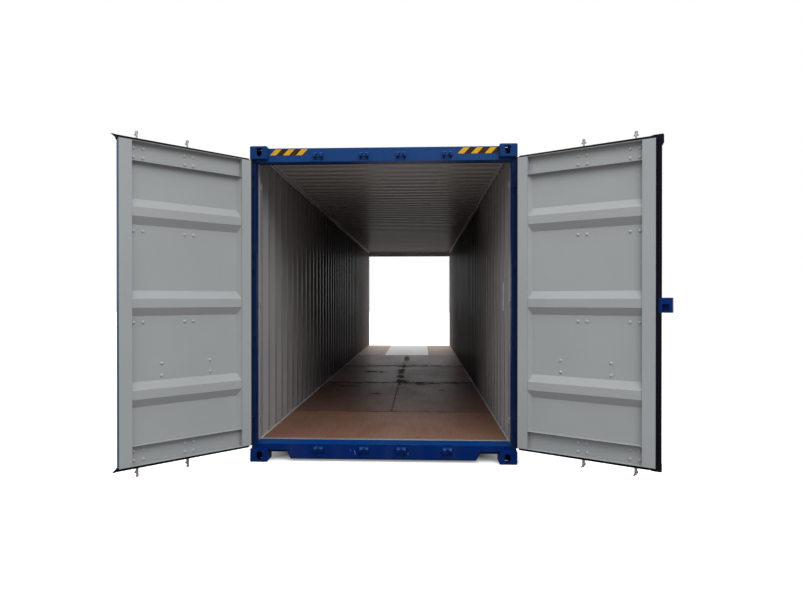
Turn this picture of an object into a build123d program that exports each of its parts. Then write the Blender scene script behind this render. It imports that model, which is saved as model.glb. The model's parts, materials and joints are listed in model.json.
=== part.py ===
"""Forty-foot high-cube shipping container with double doors at both ends.

The origin is the middle of the footprint, on the ground. +Y runs along the
length from the front end to the rear end, +X is to the right for someone who
faces the front doors from outside, and +Z is up. Sizes are in millimetres.
The rear end is the front end turned half a turn about Z, so left and right
are always meant for someone who faces that end from outside.
"""

import math
import os

from build123d import *

# Outside of the container
length = 12192.0
width = 2438.0
height = 2896.0

# Corner castings
casting_length = 178.0
casting_width = 162.0
casting_height = 118.0
casting_wall = 16.0
casting_plate = 28.0
casting_radius = 14.0
casting_edge_radius = 12.0
lock_hole_length = 124.0
lock_hole_width = 63.5
lock_hole_from_end = 101.5
lock_hole_from_side = 89.0
hand_hole_width = 51.0
hand_hole_height = 79.5
shield_hole_top_radius = 12.0
shield_hole_low_radius = 22.0
shield_hole_width = 58.0
shield_hole_height = 76.0

# Frame round the door opening, depths measured from the end face
sill_top = 172.0
frame_setback = 50.0
frame_plate = 4.0
header_top_drop = 14.0
header_height = 125.0
sill_front_top = 158.0
sill_bottom = 34.0
sill_back = 184.0
sill_notch_top = 109.0
sill_notch_width = 175.0
sill_notch_slope = 38.0
threshold_width = 65.0
threshold_leg = 40.0
post_width = 46.0
post_web = 12.0
post_wall = 6.0
post_radius = 8.0

# Side rails
side_clearance = 3.0
top_rail_size = 60.0
top_rail_wall = 3.0
roof_drop = 6.0
bottom_rail_low = 16.0
bottom_rail_height = 162.0
bottom_rail_top_flange = 48.0
bottom_rail_low_flange = 30.0
bottom_rail_wall = 4.5

# Corrugated side walls and roof
wall_sheet = 1.6
wall_outer_flat = 72.0
wall_inner_flat = 70.0
wall_slope = 68.0
wall_depth = 36.0
wall_inset = 7.0
roof_sheet = 2.0
roof_high_flat = 91.0
roof_low_flat = 91.0
roof_slope = 13.5
roof_depth = 20.0

# Floor and underframe
floor_thickness = 28.0
floor_side_gap = 2.0
cross_member_height = 122.0
cross_member_flange = 45.0
cross_member_wall = 4.0
cross_member_pitch = 300.0
cross_member_start = 300.0
tunnel_length = 3262.0
tunnel_width = 1029.0
tunnel_clear_height = 120.0
tunnel_wall = 5.0
tunnel_plate = 4.0
tunnel_bow_width = 60.0

# Door leaves, in the closed position
leaf_gap = 8.0
leaf_centre_gap = 14.0
leaf_low_gap = 15.0
leaf_top_gap = 12.0
leaf_thickness = 50.0
leaf_setback = 49.0
upright_width = 100.0
upright_wall = 3.0
rail_height = 160.0
rail_wall = 3.0
panel_sheet = 2.0
panel_recess = 3.0
ridge_depth = 36.0
ridge_face = 72.0
ridge_slope = 66.0
ridge_pitch = 728.0

# Door gaskets
gasket_thickness = 5.0
gasket_width = 36.0
gasket_back = 5.0
gasket_lip = 34.0
gasket_lip_thickness = 7.0
gasket_lip_base = 23.0
lap_strip_depth = 14.0
swing_clearance = 5.0

# Hinges
pin_from_side = 15.0
pin_setback = 18.0
pin_radius = 6.3
pin_clearance = 0.1
knuckle_radius = 12.0
knuckle_height = 96.0
knuckle_gap = 1.5
lug_radius = 14.0
lug_height = 16.0
lug_root_inset = 2.0
strap_thickness = 8.0
strap_reach = 96.0
strap_crank = 2.5
hinge_count = 4
hinge_from_end = 176.0

# Locking bars, their guides, cams and keepers
bar_positions = {"inner": 170.0, "outer": 590.0}
bar_setback = 23.0
bar_radius = 17.0
bar_wall = 3.0
bar_end_gap = 12.0
guide_clearance = 0.3
guide_wall = 4.5
guide_width = 100.0
guide_base = 6.0
guide_from_bottom = 72.0
guide_from_top = 88.0
middle_guide_drop = 153.0
upper_guide_rise = 575.0
guide_tall = 100.0
guide_short = 50.0
cam_collar_radius = 14.0
cam_finger_radius = 8.0
cam_finger_past_keeper = 2.0
cam_arm_reach = 16.0
cam_arm_width = 12.0
cam_arm_height = 12.0
keeper_width = 80.0
keeper_base = 5.0
keeper_lug = 17.0
keeper_lug_front = 8.0
keeper_lug_shoulder = 14.0
keeper_lug_bevel = 0.27
keeper_lug_inset = 2.0
keeper_height = 58.0
keeper_from_edge = 50.0
tunnel_keeper_height = 30.0
handle_height = 918.0
handle_length = 300.0
handle_depth = 30.0
handle_thickness = 10.0
handle_hub_radius = 20.0
catch_offset = 186.0
catch_width = 60.0
catch_height = 140.0

# Lock box on each right-hand leaf
lock_box_width = 142.0
lock_box_past_edge = 110.0
lock_box_low = 1384.0
lock_box_height = 119.0
lock_box_depth = 42.0
lock_box_wall = 5.0
lock_box_window_width = 53.0
lock_box_window_height = 54.0
lock_box_window_low = 14.0
lock_box_window_from_end = 21.0
staple_thickness = 20.0
staple_height = 30.0
staple_depth = 35.0

# How far each leaf stands open
left_open_angle = 134.5
right_open_angle = 147.5

# Worked-out places
half_width = width / 2
face_y = -length / 2
frame_y = face_y + frame_setback
header_top = height - header_top_drop
header_bottom = header_top - header_height
header_depth = casting_length - frame_setback
opening_half = half_width - side_clearance - post_width
casting_inner_x = half_width - casting_width
pin_x = half_width - pin_from_side
pin_y = face_y + pin_setback
leaf_front_y = face_y + leaf_setback
leaf_back_y = leaf_front_y + leaf_thickness
leaf_middle_y = (leaf_front_y + leaf_back_y) / 2
leaf_bottom = sill_front_top + leaf_low_gap
leaf_top = header_bottom - leaf_top_gap
leaf_height = leaf_top - leaf_bottom
leaf_middle_z = (leaf_top + leaf_bottom) / 2
leaf_outer_x = opening_half - leaf_gap
leaf_inner_x = leaf_centre_gap / 2
bar_y = face_y + bar_setback
hinge_step = (leaf_height - 2 * hinge_from_end) / (hinge_count - 1)
hinge_heights = [leaf_bottom + hinge_from_end + i * hinge_step for i in range(hinge_count)]
rail_guide_heights = (leaf_bottom + guide_from_bottom, leaf_top - guide_from_top)
panel_guide_heights = (leaf_middle_z - middle_guide_drop, leaf_middle_z + upper_guide_rise)
rail_x = half_width - side_clearance
top_rail_top = height - roof_drop
top_rail_bottom = top_rail_top - top_rail_size
bottom_rail_top = bottom_rail_low + bottom_rail_height
floor_bottom = sill_top - floor_thickness
wall_outer_x = half_width - wall_inset
wall_inner_x = wall_outer_x - wall_depth
threshold_y = face_y + sill_back
floor_start_y = threshold_y + threshold_width
tunnel_start_y = length / 2 - tunnel_length
tunnel_outer_x = tunnel_width / 2 + tunnel_wall

os.makedirs("parts", exist_ok=True)


def write(shape, name):
    """Label a finished piece and write it as a STEP file."""
    shape.label = name
    export_step(shape, f"parts/{name}.step")


def to_rear(shape):
    """Turn a front-end piece round to the rear end."""
    return shape.rotate(Axis.Z, 180)


def opened(shape, side, angle):
    """Swing a closed leaf's piece open about its hinge pins."""
    hinge = Axis((side * pin_x, pin_y, 0), (0, 0, 1))
    return shape.rotate(hinge, side * angle)


def sheet_outline(line, thickness):
    """Close a folded line into the outline of a sheet, thickened along its first axis."""
    back = [(a + thickness, b) for a, b in reversed(line)]
    return line + back + line[:1]


def wave(start, end, first_flat, slope, other_flat, low, high):
    """Points of a trapezoid wave from start to end, with equal flats left over at both ends."""
    pitch = first_flat + other_flat + 2 * slope
    count = int((end - start + first_flat) // pitch)
    spare = (end - start - count * pitch + first_flat) / 2
    points = [(low, start)]
    place = start + spare
    for _ in range(count):
        points.append((low, place))
        points.append((high, place + slope))
        points.append((high, place + slope + other_flat))
        points.append((low, place + 2 * slope + other_flat))
        place += pitch
    points.append((low, end))
    return points


# Corner castings, four below and four above
hole_x = half_width - lock_hole_from_side
hole_y = face_y + lock_hole_from_end
casting_x = half_width - casting_width / 2
casting_y = face_y + casting_length / 2


def castings(top):
    """Four hollow castings with a lock hole and two hand holes each."""
    base_z = height - casting_height if top else 0
    plate_z = height - casting_plate if top else 0
    cavity_z = base_z + (casting_wall if top else casting_plate)
    cavity_height = casting_height - casting_wall - casting_plate
    hand_z = base_z + casting_height / 2
    with BuildPart() as casting:
        with BuildSketch(Plane.XY.offset(base_z)):
            with Locations((-casting_x, casting_y)):
                RectangleRounded(casting_width, casting_length, casting_radius)
        extrude(amount=casting_height)
        outer_face = casting.faces().sort_by(Axis.Z)[-1 if top else 0]
        fillet(outer_face.edges(), casting_edge_radius)
        with BuildSketch(Plane.XY.offset(cavity_z)):
            with Locations((-casting_x, casting_y)):
                Rectangle(casting_width - 2 * casting_wall, casting_length - 2 * casting_wall)
        extrude(amount=cavity_height, mode=Mode.SUBTRACT)
        with BuildSketch(Plane.XY.offset(plate_z)):
            with Locations((-hole_x, hole_y)):
                SlotOverall(lock_hole_length, lock_hole_width, rotation=90)
        extrude(amount=casting_plate, mode=Mode.SUBTRACT)
        with BuildSketch(Plane.XZ.offset(-face_y)):
            with Locations((-hole_x, hand_z)):
                hand_hole(top)
        extrude(amount=-casting_wall, mode=Mode.SUBTRACT)
        with BuildSketch(Plane.YZ.offset(-half_width)):
            with Locations((hole_y, hand_z)):
                hand_hole(top)
        extrude(amount=casting_wall, mode=Mode.SUBTRACT)
        mirror(about=Plane.YZ)
        mirror(about=Plane.XZ)
    return casting.part


def hand_hole(top):
    """Outline of the side hole: a shield on the top castings, an upright slot on the bottom ones."""
    if not top:
        SlotOverall(hand_hole_height, hand_hole_width, rotation=90)
        return
    shoulder = shield_hole_width / 2 - shield_hole_top_radius
    shoulder_z = shield_hole_height / 2 - shield_hole_top_radius
    low_z = shield_hole_low_radius - shield_hole_height / 2
    with Locations((-shoulder, shoulder_z), (shoulder, shoulder_z)):
        Circle(shield_hole_top_radius)
    with Locations((0, low_z)):
        Circle(shield_hole_low_radius)
    make_hull()


write(castings(top=False), "bottom_corner_castings")
write(castings(top=True), "top_corner_castings")


# Corner posts with their hinge lugs and pins
def end_post(side):
    """Hollow post between the castings, thick on the opening side, with hinge lugs on its front."""
    post_depth = casting_length - frame_setback
    centre_x = side * (opening_half + post_width / 2)
    hollow_width = post_width - post_web - post_wall
    hollow_depth = post_depth - post_web - post_wall
    hollow_x = side * (opening_half + post_web + hollow_width / 2)
    hollow_y = frame_y + post_web + hollow_depth / 2
    with BuildPart() as post:
        with BuildSketch(Plane.XY.offset(casting_height)) as section:
            with Locations((centre_x, frame_y + post_depth / 2)):
                Rectangle(post_width, post_depth)
            front_corner = section.vertices().group_by(Axis.Y)[0].sort_by(Axis.X)
            fillet(front_corner[-1 if side > 0 else 0], post_radius)
            with Locations((hollow_x, hollow_y)):
                Rectangle(hollow_width, hollow_depth, mode=Mode.SUBTRACT)
        extrude(amount=height - 2 * casting_height)
        for middle in hinge_heights:
            knuckle_low = middle - knuckle_height / 2
            for lug_z in (knuckle_low - knuckle_gap - lug_height, knuckle_low + knuckle_height + knuckle_gap):
                with BuildSketch(Plane.XY.offset(lug_z)):
                    with Locations((side * pin_x, pin_y)):
                        Circle(lug_radius)
                    with Locations((side * pin_x, (pin_y + frame_y) / 2)):
                        Rectangle(2 * (lug_radius - lug_root_inset), frame_y - pin_y)
                extrude(amount=lug_height)
            with BuildSketch(Plane.XY.offset(knuckle_low - knuckle_gap)):
                with Locations((side * pin_x, pin_y)):
                    Circle(pin_radius)
            extrude(amount=knuckle_height + 2 * knuckle_gap)
    return post.part


for side, hand in ((-1, "left"), (1, "right")):
    post = end_post(side)
    write(post, f"front_{hand}_post")
    write(to_rear(post), f"rear_{hand}_post")


# Door header, a hollow beam between the top castings
def end_header():
    """Box beam between the castings, with a filler under each casting out to the post."""
    casting_low = height - casting_height
    hollow_height = header_top - header_bottom - 2 * frame_plate
    filler_width = opening_half - casting_inner_x
    filler_x = (opening_half + casting_inner_x) / 2
    filler_z = (casting_low + header_bottom) / 2
    with BuildPart() as header:
        with BuildSketch(Plane.XZ.offset(-frame_y)):
            with Locations((0, (header_top + header_bottom) / 2)):
                Rectangle(2 * casting_inner_x, header_top - header_bottom)
        extrude(amount=-header_depth)
        with BuildSketch(Plane.XZ.offset(-frame_y - frame_plate)):
            with Locations((0, (header_top + header_bottom) / 2)):
                Rectangle(2 * (casting_inner_x - frame_plate), hollow_height)
        extrude(amount=-(header_depth - 2 * frame_plate), mode=Mode.SUBTRACT)
    with BuildPart() as fillers:
        with BuildSketch(Plane.XZ.offset(-frame_y)):
            with Locations((-filler_x, filler_z), (filler_x, filler_z)):
                Rectangle(filler_width, casting_low - header_bottom)
        extrude(amount=-header_depth)
    return Compound(header.solids() + fillers.solids())


header = end_header()
write(header, "front_header")
write(to_rear(header), "rear_header")


# Door sill, a hollow beam between the bottom castings with a notch beside each
def sill_body(inset, tunnel_gap):
    """The sill's outer form, shrunk all round by an inset for its hollow."""
    notch_x = casting_inner_x - sill_notch_width
    low = sill_bottom + inset
    notch = sill_notch_top + inset
    end_x = casting_inner_x - inset
    half_outline = [
        (notch_x - sill_notch_slope - inset, low),
        (notch_x - inset, notch),
        (end_x, notch),
        (end_x, casting_height + inset),
        (opening_half - inset, casting_height + inset),
        (opening_half - inset, sill_top),
    ]
    if tunnel_gap:
        gap_x = tunnel_outer_x + inset
        gap_z = tunnel_clear_height + inset
        half_outline = [(0, gap_z), (gap_x, gap_z), (gap_x, low)] + half_outline
    mirrored = [(-x, z) for x, z in reversed(half_outline) if x > 0]
    outline = half_outline + mirrored
    slope_profile = [
        (frame_y + inset, sill_bottom),
        (threshold_y - inset, sill_bottom),
        (threshold_y - inset, sill_top - inset),
        (frame_y + inset, sill_front_top - inset),
    ]
    with BuildPart() as body:
        with BuildSketch(Plane.XZ.offset(-frame_y - inset)):
            with BuildLine():
                Polyline(outline + outline[:1])
            make_face()
        extrude(amount=-(threshold_y - frame_y - 2 * inset))
        with BuildSketch(Plane.YZ.offset(-opening_half)):
            with BuildLine():
                Polyline(slope_profile + slope_profile[:1])
            make_face()
        extrude(amount=2 * opening_half, mode=Mode.INTERSECT)
    return body.part


def end_sill(tunnel_gap):
    """Hollow sill; at the rear its middle is shallow, over the mouth of the tunnel."""
    with BuildPart() as sill:
        add(sill_body(0, tunnel_gap))
        add(sill_body(frame_plate, tunnel_gap), mode=Mode.SUBTRACT)
    return sill.part


write(end_sill(tunnel_gap=False), "front_sill")
write(to_rear(end_sill(tunnel_gap=True)), "rear_sill")

# Threshold angle between each sill and the floor
with BuildPart() as thresholds:
    with BuildSketch(Plane.YZ.offset(-opening_half)):
        with Locations((threshold_y + threshold_width / 2, sill_top - tunnel_plate / 2)):
            Rectangle(threshold_width, tunnel_plate)
        with Locations((threshold_y + tunnel_plate / 2, sill_top - threshold_leg / 2)):
            Rectangle(tunnel_plate, threshold_leg)
    extrude(amount=2 * opening_half)
    mirror(about=Plane.XZ)
write(thresholds.part, "threshold_angles")

# Side rails
rail_length = length - 2 * casting_length
with BuildPart() as top_rails:
    with BuildSketch(Plane.XZ.offset(rail_length / 2)):
        with Locations((rail_x - top_rail_size / 2, top_rail_top - top_rail_size / 2)):
            Rectangle(top_rail_size, top_rail_size)
            hollow = top_rail_size - 2 * top_rail_wall
            Rectangle(hollow, hollow, mode=Mode.SUBTRACT)
    extrude(amount=-rail_length)
    mirror(about=Plane.YZ)
write(top_rails.part, "top_side_rails")

with BuildPart() as bottom_rails:
    with BuildSketch(Plane.XZ.offset(rail_length / 2)):
        with Locations((rail_x, bottom_rail_low)):
            Rectangle(bottom_rail_wall, bottom_rail_height, align=(Align.MAX, Align.MIN))
            Rectangle(bottom_rail_low_flange, bottom_rail_wall, align=(Align.MAX, Align.MIN))
        with Locations((rail_x, bottom_rail_top)):
            Rectangle(bottom_rail_top_flange, bottom_rail_wall, align=(Align.MAX, Align.MAX))
    extrude(amount=-rail_length)
    mirror(about=Plane.YZ)
write(bottom_rails.part, "bottom_side_rails")


# Corrugated side walls between the rails
def side_wall(side):
    """Folded sheet with upright corrugations."""
    half_length = rail_length / 2
    flats = (wall_inner_flat, wall_slope, wall_outer_flat)
    folds = wave(-half_length, half_length, *flats, wall_inner_x, wall_outer_x)
    outline = sheet_outline(folds, -wall_sheet)
    with BuildPart() as wall:
        with BuildSketch(Plane.XY.offset(bottom_rail_top)):
            with BuildLine():
                Polyline([(side * x, y) for x, y in outline])
            make_face()
        extrude(amount=top_rail_bottom - bottom_rail_top)
    return wall.part


write(side_wall(-1), "left_side_wall")
write(side_wall(1), "right_side_wall")

# Roof sheet with corrugations across its width
roof_half_length = -(frame_y + header_depth)
roof_high = top_rail_top
roof_low = roof_high - roof_depth
roof_folds = wave(
    -roof_half_length, roof_half_length, roof_low_flat, roof_slope, roof_high_flat, roof_low, roof_high
)
roof_half_width = rail_x - top_rail_size
with BuildPart() as roof:
    with BuildSketch(Plane.YZ.offset(-roof_half_width)):
        with BuildLine():
            Polyline([(y, z) for z, y in sheet_outline(roof_folds, -roof_sheet)])
        make_face()
    extrude(amount=2 * roof_half_width)
write(roof.part, "roof_panel")


# Underframe
def cross_member_profile():
    """Channel section of a cross member, its web towards the front end."""
    Rectangle(cross_member_wall, cross_member_height, align=(Align.MIN, Align.MAX))
    Rectangle(cross_member_flange, cross_member_wall, align=(Align.MIN, Align.MAX))
    with Locations((0, cross_member_wall - cross_member_height)):
        Rectangle(cross_member_flange, cross_member_wall, align=(Align.MIN, Align.MAX))


member_outer_x = rail_x - bottom_rail_wall
first_member_y = face_y + cross_member_start
full_count = int((tunnel_start_y - cross_member_flange - first_member_y) // cross_member_pitch) + 1
short_start_y = tunnel_start_y + cross_member_flange
short_end_y = -threshold_y - cross_member_flange
short_count = int((short_end_y - short_start_y) // cross_member_pitch) + 1
with BuildPart() as cross_members:
    with BuildSketch(Plane.YZ.offset(-member_outer_x)):
        with Locations(*[(first_member_y + i * cross_member_pitch, floor_bottom) for i in range(full_count)]):
            cross_member_profile()
    extrude(amount=2 * member_outer_x)
    with BuildSketch(Plane.YZ.offset(tunnel_outer_x)):
        with Locations(*[(short_start_y + i * cross_member_pitch, floor_bottom) for i in range(short_count)]):
            cross_member_profile()
    extrude(amount=member_outer_x - tunnel_outer_x)
    with BuildSketch(Plane.YZ.offset(-member_outer_x)):
        with Locations(*[(short_start_y + i * cross_member_pitch, floor_bottom) for i in range(short_count)]):
            cross_member_profile()
    extrude(amount=member_outer_x - tunnel_outer_x)
write(cross_members.part, "cross_members")

# Gooseneck tunnel under the rear end of the floor
tunnel_end_y = -threshold_y
tunnel_plate_end_y = tunnel_end_y - threshold_width
tunnel_side_height = sill_top - tunnel_plate - bottom_rail_low
bow_height = sill_top - tunnel_plate - tunnel_clear_height
bow_count = int((tunnel_plate_end_y - tunnel_start_y) // cross_member_pitch)
bow_ys = [tunnel_start_y + cross_member_pitch / 2 + i * cross_member_pitch for i in range(bow_count)]
with BuildPart() as tunnel:
    with BuildSketch(Plane.XZ.offset(-tunnel_plate_end_y)):
        with Locations((0, sill_top)):
            Rectangle(2 * tunnel_outer_x, tunnel_plate, align=(Align.CENTER, Align.MAX))
    extrude(amount=tunnel_plate_end_y - tunnel_start_y)
    with BuildSketch(Plane.XZ.offset(tunnel_plate - tunnel_end_y)):
        for side in (-1, 1):
            with Locations((side * (tunnel_outer_x - tunnel_wall / 2), bottom_rail_low)):
                Rectangle(tunnel_wall, tunnel_side_height, align=(Align.CENTER, Align.MIN))
    extrude(amount=tunnel_end_y - tunnel_plate - tunnel_start_y)
    with BuildSketch(Plane.YZ.offset(-tunnel_outer_x)):
        with Locations(*[(y, tunnel_clear_height) for y in bow_ys]):
            Rectangle(tunnel_bow_width, bow_height, align=(Align.CENTER, Align.MIN))
        with Locations(*[(y, tunnel_clear_height + tunnel_plate) for y in bow_ys]):
            Rectangle(
                tunnel_bow_width - 2 * tunnel_plate,
                bow_height,
                align=(Align.CENTER, Align.MIN),
                mode=Mode.SUBTRACT,
            )
    extrude(amount=2 * tunnel_outer_x)
write(tunnel.part, "gooseneck_tunnel")

# Plywood floor, cut out round the tunnel plate
floor_half = rail_x - bottom_rail_top_flange - floor_side_gap
floor_length = -2 * floor_start_y
cut_length = -floor_start_y - tunnel_start_y
with BuildPart() as floor:
    with BuildSketch(Plane.XY.offset(floor_bottom)):
        Rectangle(2 * floor_half, floor_length)
        with Locations((0, tunnel_start_y)):
            Rectangle(2 * tunnel_outer_x, cut_length, align=(Align.CENTER, Align.MIN), mode=Mode.SUBTRACT)
    extrude(amount=floor_thickness)
write(floor.part, "plywood_floor")

# Cam keepers on the headers and sills
keeper_top_z = header_bottom + keeper_from_edge
keeper_low_z = sill_front_top - keeper_from_edge
tunnel_keeper_z = (tunnel_clear_height + frame_plate + sill_front_top) / 2


def keeper(x, z, tall):
    """Backing plate with a lug each side of the cam, each bevelled above and below."""
    lug_low = z - tall / 2 + keeper_lug_inset
    lug_high = z + tall / 2 - keeper_lug_inset
    bevel = tall * keeper_lug_bevel
    front_y = face_y + keeper_lug_front
    shoulder_y = frame_y - keeper_lug_shoulder
    side_view = [
        (frame_y, lug_low),
        (shoulder_y, lug_low),
        (front_y, lug_low + bevel),
        (front_y, lug_high - bevel),
        (shoulder_y, lug_high),
        (frame_y, lug_high),
        (frame_y, lug_low),
    ]
    with BuildPart() as plate:
        with BuildSketch(Plane.XZ.offset(-frame_y)):
            with Locations((x, z)):
                Rectangle(keeper_width, tall)
        extrude(amount=keeper_base)
        for lug_x in (x - keeper_width / 2, x + keeper_width / 2 - keeper_lug):
            with BuildSketch(Plane.YZ.offset(lug_x)):
                with BuildLine():
                    Polyline(side_view)
                make_face()
            extrude(amount=keeper_lug)
    return plate.part


def end_keepers(tunnel_gap):
    """Keepers of one end's four bars."""
    pieces = []
    for side in (-1, 1):
        for bar_name, bar_x in bar_positions.items():
            pieces.append(keeper(side * bar_x, keeper_top_z, keeper_height))
            if tunnel_gap and bar_name == "inner":
                pieces.append(keeper(side * bar_x, tunnel_keeper_z, tunnel_keeper_height))
            else:
                pieces.append(keeper(side * bar_x, keeper_low_z, keeper_height))
    with BuildPart() as keepers:
        add(pieces)
    return keepers.part


write(end_keepers(tunnel_gap=False), "front_cam_keepers")
write(to_rear(end_keepers(tunnel_gap=True)), "rear_cam_keepers")


# Door leaves, modelled closed
def door_frame(side):
    """Two hollow uprights joined by a channel along the top and the bottom."""
    upright_xs = (leaf_outer_x - upright_width / 2, leaf_inner_x + upright_width / 2)
    rail_inner_x = leaf_inner_x + upright_width
    rail_span = leaf_outer_x - leaf_inner_x - 2 * upright_width
    with BuildPart() as frame:
        with BuildSketch(Plane.XY.offset(leaf_bottom)):
            with Locations(*[(side * x, leaf_middle_y) for x in upright_xs]):
                Rectangle(upright_width, leaf_thickness)
        extrude(amount=leaf_height)
        with BuildSketch(Plane.XY.offset(leaf_bottom)):
            with Locations(*[(side * x, leaf_middle_y) for x in upright_xs]):
                Rectangle(upright_width - 2 * upright_wall, leaf_thickness - 2 * upright_wall)
        extrude(amount=leaf_height - upright_wall, mode=Mode.SUBTRACT)
        with BuildSketch(Plane.YZ.offset(side * rail_inner_x)):
            for low in (leaf_bottom, leaf_top - rail_height):
                with Locations((leaf_front_y, low)):
                    Rectangle(rail_wall, rail_height, align=(Align.MIN, Align.MIN))
                    Rectangle(leaf_thickness, rail_wall, align=(Align.MIN, Align.MIN))
                with Locations((leaf_front_y, low + rail_height)):
                    Rectangle(leaf_thickness, rail_wall, align=(Align.MIN, Align.MAX))
        extrude(amount=side * rail_span)
    return frame.part


def door_panel(side):
    """Sheet between the frame's members with three ridges that stand inwards."""
    low = leaf_bottom + rail_height
    high = leaf_top - rail_height
    base_y = leaf_front_y + panel_recess
    ridge_y = base_y + ridge_depth
    folds = [(base_y, low)]
    for step in (-ridge_pitch, 0, ridge_pitch):
        middle = leaf_middle_z + step
        foot = ridge_face / 2 + ridge_slope
        folds.append((base_y, middle - foot))
        folds.append((ridge_y, middle - ridge_face / 2))
        folds.append((ridge_y, middle + ridge_face / 2))
        folds.append((base_y, middle + foot))
    folds.append((base_y, high))
    panel_inner_x = leaf_inner_x + upright_width
    with BuildPart() as panel:
        with BuildSketch(Plane.YZ.offset(side * panel_inner_x)):
            with BuildLine():
                Polyline(sheet_outline(folds, panel_sheet))
            make_face()
        extrude(amount=side * (leaf_outer_x - leaf_inner_x - 2 * upright_width))
    return panel.part


def door_gasket(side):
    """Rubber strip round the leaf's edge; the right leaf's also laps over the middle joint."""
    strip_y = leaf_back_y - gasket_back - gasket_width / 2
    edge_x = opening_half - swing_clearance
    top_z = header_bottom - swing_clearance
    slope_rate = (sill_top - sill_front_top) / (threshold_y - frame_y)
    sill_z = sill_front_top + slope_rate * (leaf_back_y - frame_y)
    low_z = sill_z + swing_clearance
    lap = [lap_gasket(low_z, top_z)] if side > 0 else []
    with BuildPart() as gasket:
        with BuildSketch(Plane.XZ.offset(-strip_y - gasket_width / 2)):
            with Locations((side * (edge_x + leaf_inner_x) / 2, (top_z + low_z) / 2)):
                Rectangle(edge_x - leaf_inner_x, top_z - low_z)
            with Locations((side * (leaf_outer_x + leaf_inner_x) / 2, leaf_middle_z)):
                Rectangle(leaf_outer_x - leaf_inner_x, leaf_height, mode=Mode.SUBTRACT)
        extrude(amount=gasket_width)
        add(lap)
    return gasket.part


def lap_gasket(low_z, top_z):
    """Strip and lip on the free edge of the right leaf, cut back round the lock box."""
    strip_x = leaf_inner_x - gasket_thickness
    strip_back_y = leaf_front_y + lap_strip_depth
    lip_back_y = leaf_front_y - swing_clearance
    lip_front_y = lip_back_y - gasket_lip_thickness
    section = [
        (leaf_inner_x - gasket_lip, lip_front_y),
        (leaf_inner_x + gasket_lip_base, lip_front_y),
        (leaf_inner_x + gasket_lip_base, leaf_front_y),
        (leaf_inner_x, leaf_front_y),
        (leaf_inner_x, strip_back_y),
        (strip_x, strip_back_y),
        (strip_x, lip_back_y),
        (leaf_inner_x - gasket_lip, lip_back_y),
    ]
    cut_depth = gasket_lip_thickness + swing_clearance
    cut_width = 2 * (gasket_lip + gasket_lip_base)
    with BuildPart() as lap:
        with BuildSketch(Plane.XY.offset(low_z)):
            with BuildLine():
                Polyline(section + section[:1])
            make_face()
        extrude(amount=top_z - low_z)
        with BuildSketch(Plane.XY.offset(lock_box_low)):
            with Locations((leaf_inner_x, lip_front_y)):
                Rectangle(cut_width, cut_depth, align=(Align.CENTER, Align.MIN))
        extrude(amount=lock_box_height, mode=Mode.SUBTRACT)
    return lap.part


def door_hardware(side):
    """Hinge straps, bar guides and handle catches on one leaf, as separate solids."""
    pieces = [hinge_strap(side, middle) for middle in hinge_heights]
    for bar_x in bar_positions.values():
        pieces += [bar_guide(side * bar_x, middle, True) for middle in rail_guide_heights]
        pieces += [bar_guide(side * bar_x, middle, False) for middle in panel_guide_heights]
        pieces.append(handle_catch(side, bar_x + catch_offset))
    if side < 0:
        pieces.append(lock_staple())
    with BuildPart() as hardware:
        add(pieces)
    return hardware.part


def hinge_strap(side, middle):
    """Knuckle round the pin with a cranked strap to the leaf's outer face."""
    half = strap_thickness / 2
    bend_u = pin_x - opening_half
    face_v = leaf_front_y - pin_y
    bend_v = face_v - strap_thickness - strap_crank
    slant = math.hypot(bend_u, bend_v)
    lift = half * slant / bend_u
    flat_start = pin_x - leaf_outer_x + half
    end_u = pin_x - leaf_outer_x + strap_reach
    strap = [
        (0, -lift),
        (bend_u, bend_v - lift),
        (flat_start, face_v - strap_thickness),
        (end_u, face_v - strap_thickness),
        (end_u, face_v),
        (flat_start, face_v),
        (bend_u, bend_v + lift),
        (0, lift),
    ]
    corners = [(side * (pin_x - u), pin_y + v) for u, v in strap]
    with BuildPart() as strap_part:
        with BuildSketch(Plane.XY.offset(middle - knuckle_height / 2)):
            with BuildLine():
                Polyline(corners + corners[:1])
            make_face()
            with Locations((side * pin_x, pin_y)):
                Circle(knuckle_radius)
                Circle(pin_radius + pin_clearance, mode=Mode.SUBTRACT)
        extrude(amount=knuckle_height)
    return strap_part.part


def bar_guide(x, middle, on_rail):
    """Bolted foot with a closed loop that holds the locking bar, on the leaf's rail or on its panel."""
    tall = guide_tall if on_rail else guide_short
    seat_y = leaf_front_y if on_rail else leaf_front_y + panel_recess
    loop_inner = bar_radius + guide_clearance
    loop_outer = loop_inner + guide_wall
    with BuildPart() as guide:
        with BuildSketch(Plane.XZ.offset(-seat_y)):
            with Locations((x, middle)):
                Rectangle(guide_width, tall)
        extrude(amount=seat_y - leaf_front_y + guide_base)
        with BuildSketch(Plane.XY.offset(middle - guide_short / 2)):
            with Locations((x, bar_y)):
                Circle(loop_outer)
                Rectangle(2 * loop_outer, leaf_front_y - bar_y, align=(Align.CENTER, Align.MIN))
        extrude(amount=guide_short)
        with BuildSketch(Plane.XY.offset(middle - tall / 2)):
            with Locations((x, bar_y)):
                Circle(loop_inner)
        extrude(amount=tall, mode=Mode.SUBTRACT)
    return guide.part


def handle_catch(side, x):
    """Plate with a hook that holds the end of a handle against the leaf."""
    hook_front = face_y + bar_setback - bar_radius
    hook_low = handle_height - handle_depth / 2 - swing_clearance
    with BuildPart() as catch:
        with BuildSketch(Plane.XZ.offset(-leaf_front_y - panel_recess)):
            with Locations((side * x, handle_height)):
                Rectangle(catch_width, catch_height)
        extrude(amount=panel_recess + guide_base)
        with BuildSketch(Plane.XZ.offset(-leaf_front_y)):
            with Locations((side * x, hook_low)):
                Rectangle(catch_width / 2, guide_base, align=(Align.CENTER, Align.MAX))
        extrude(amount=leaf_front_y - hook_front)
    return catch.part


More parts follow.
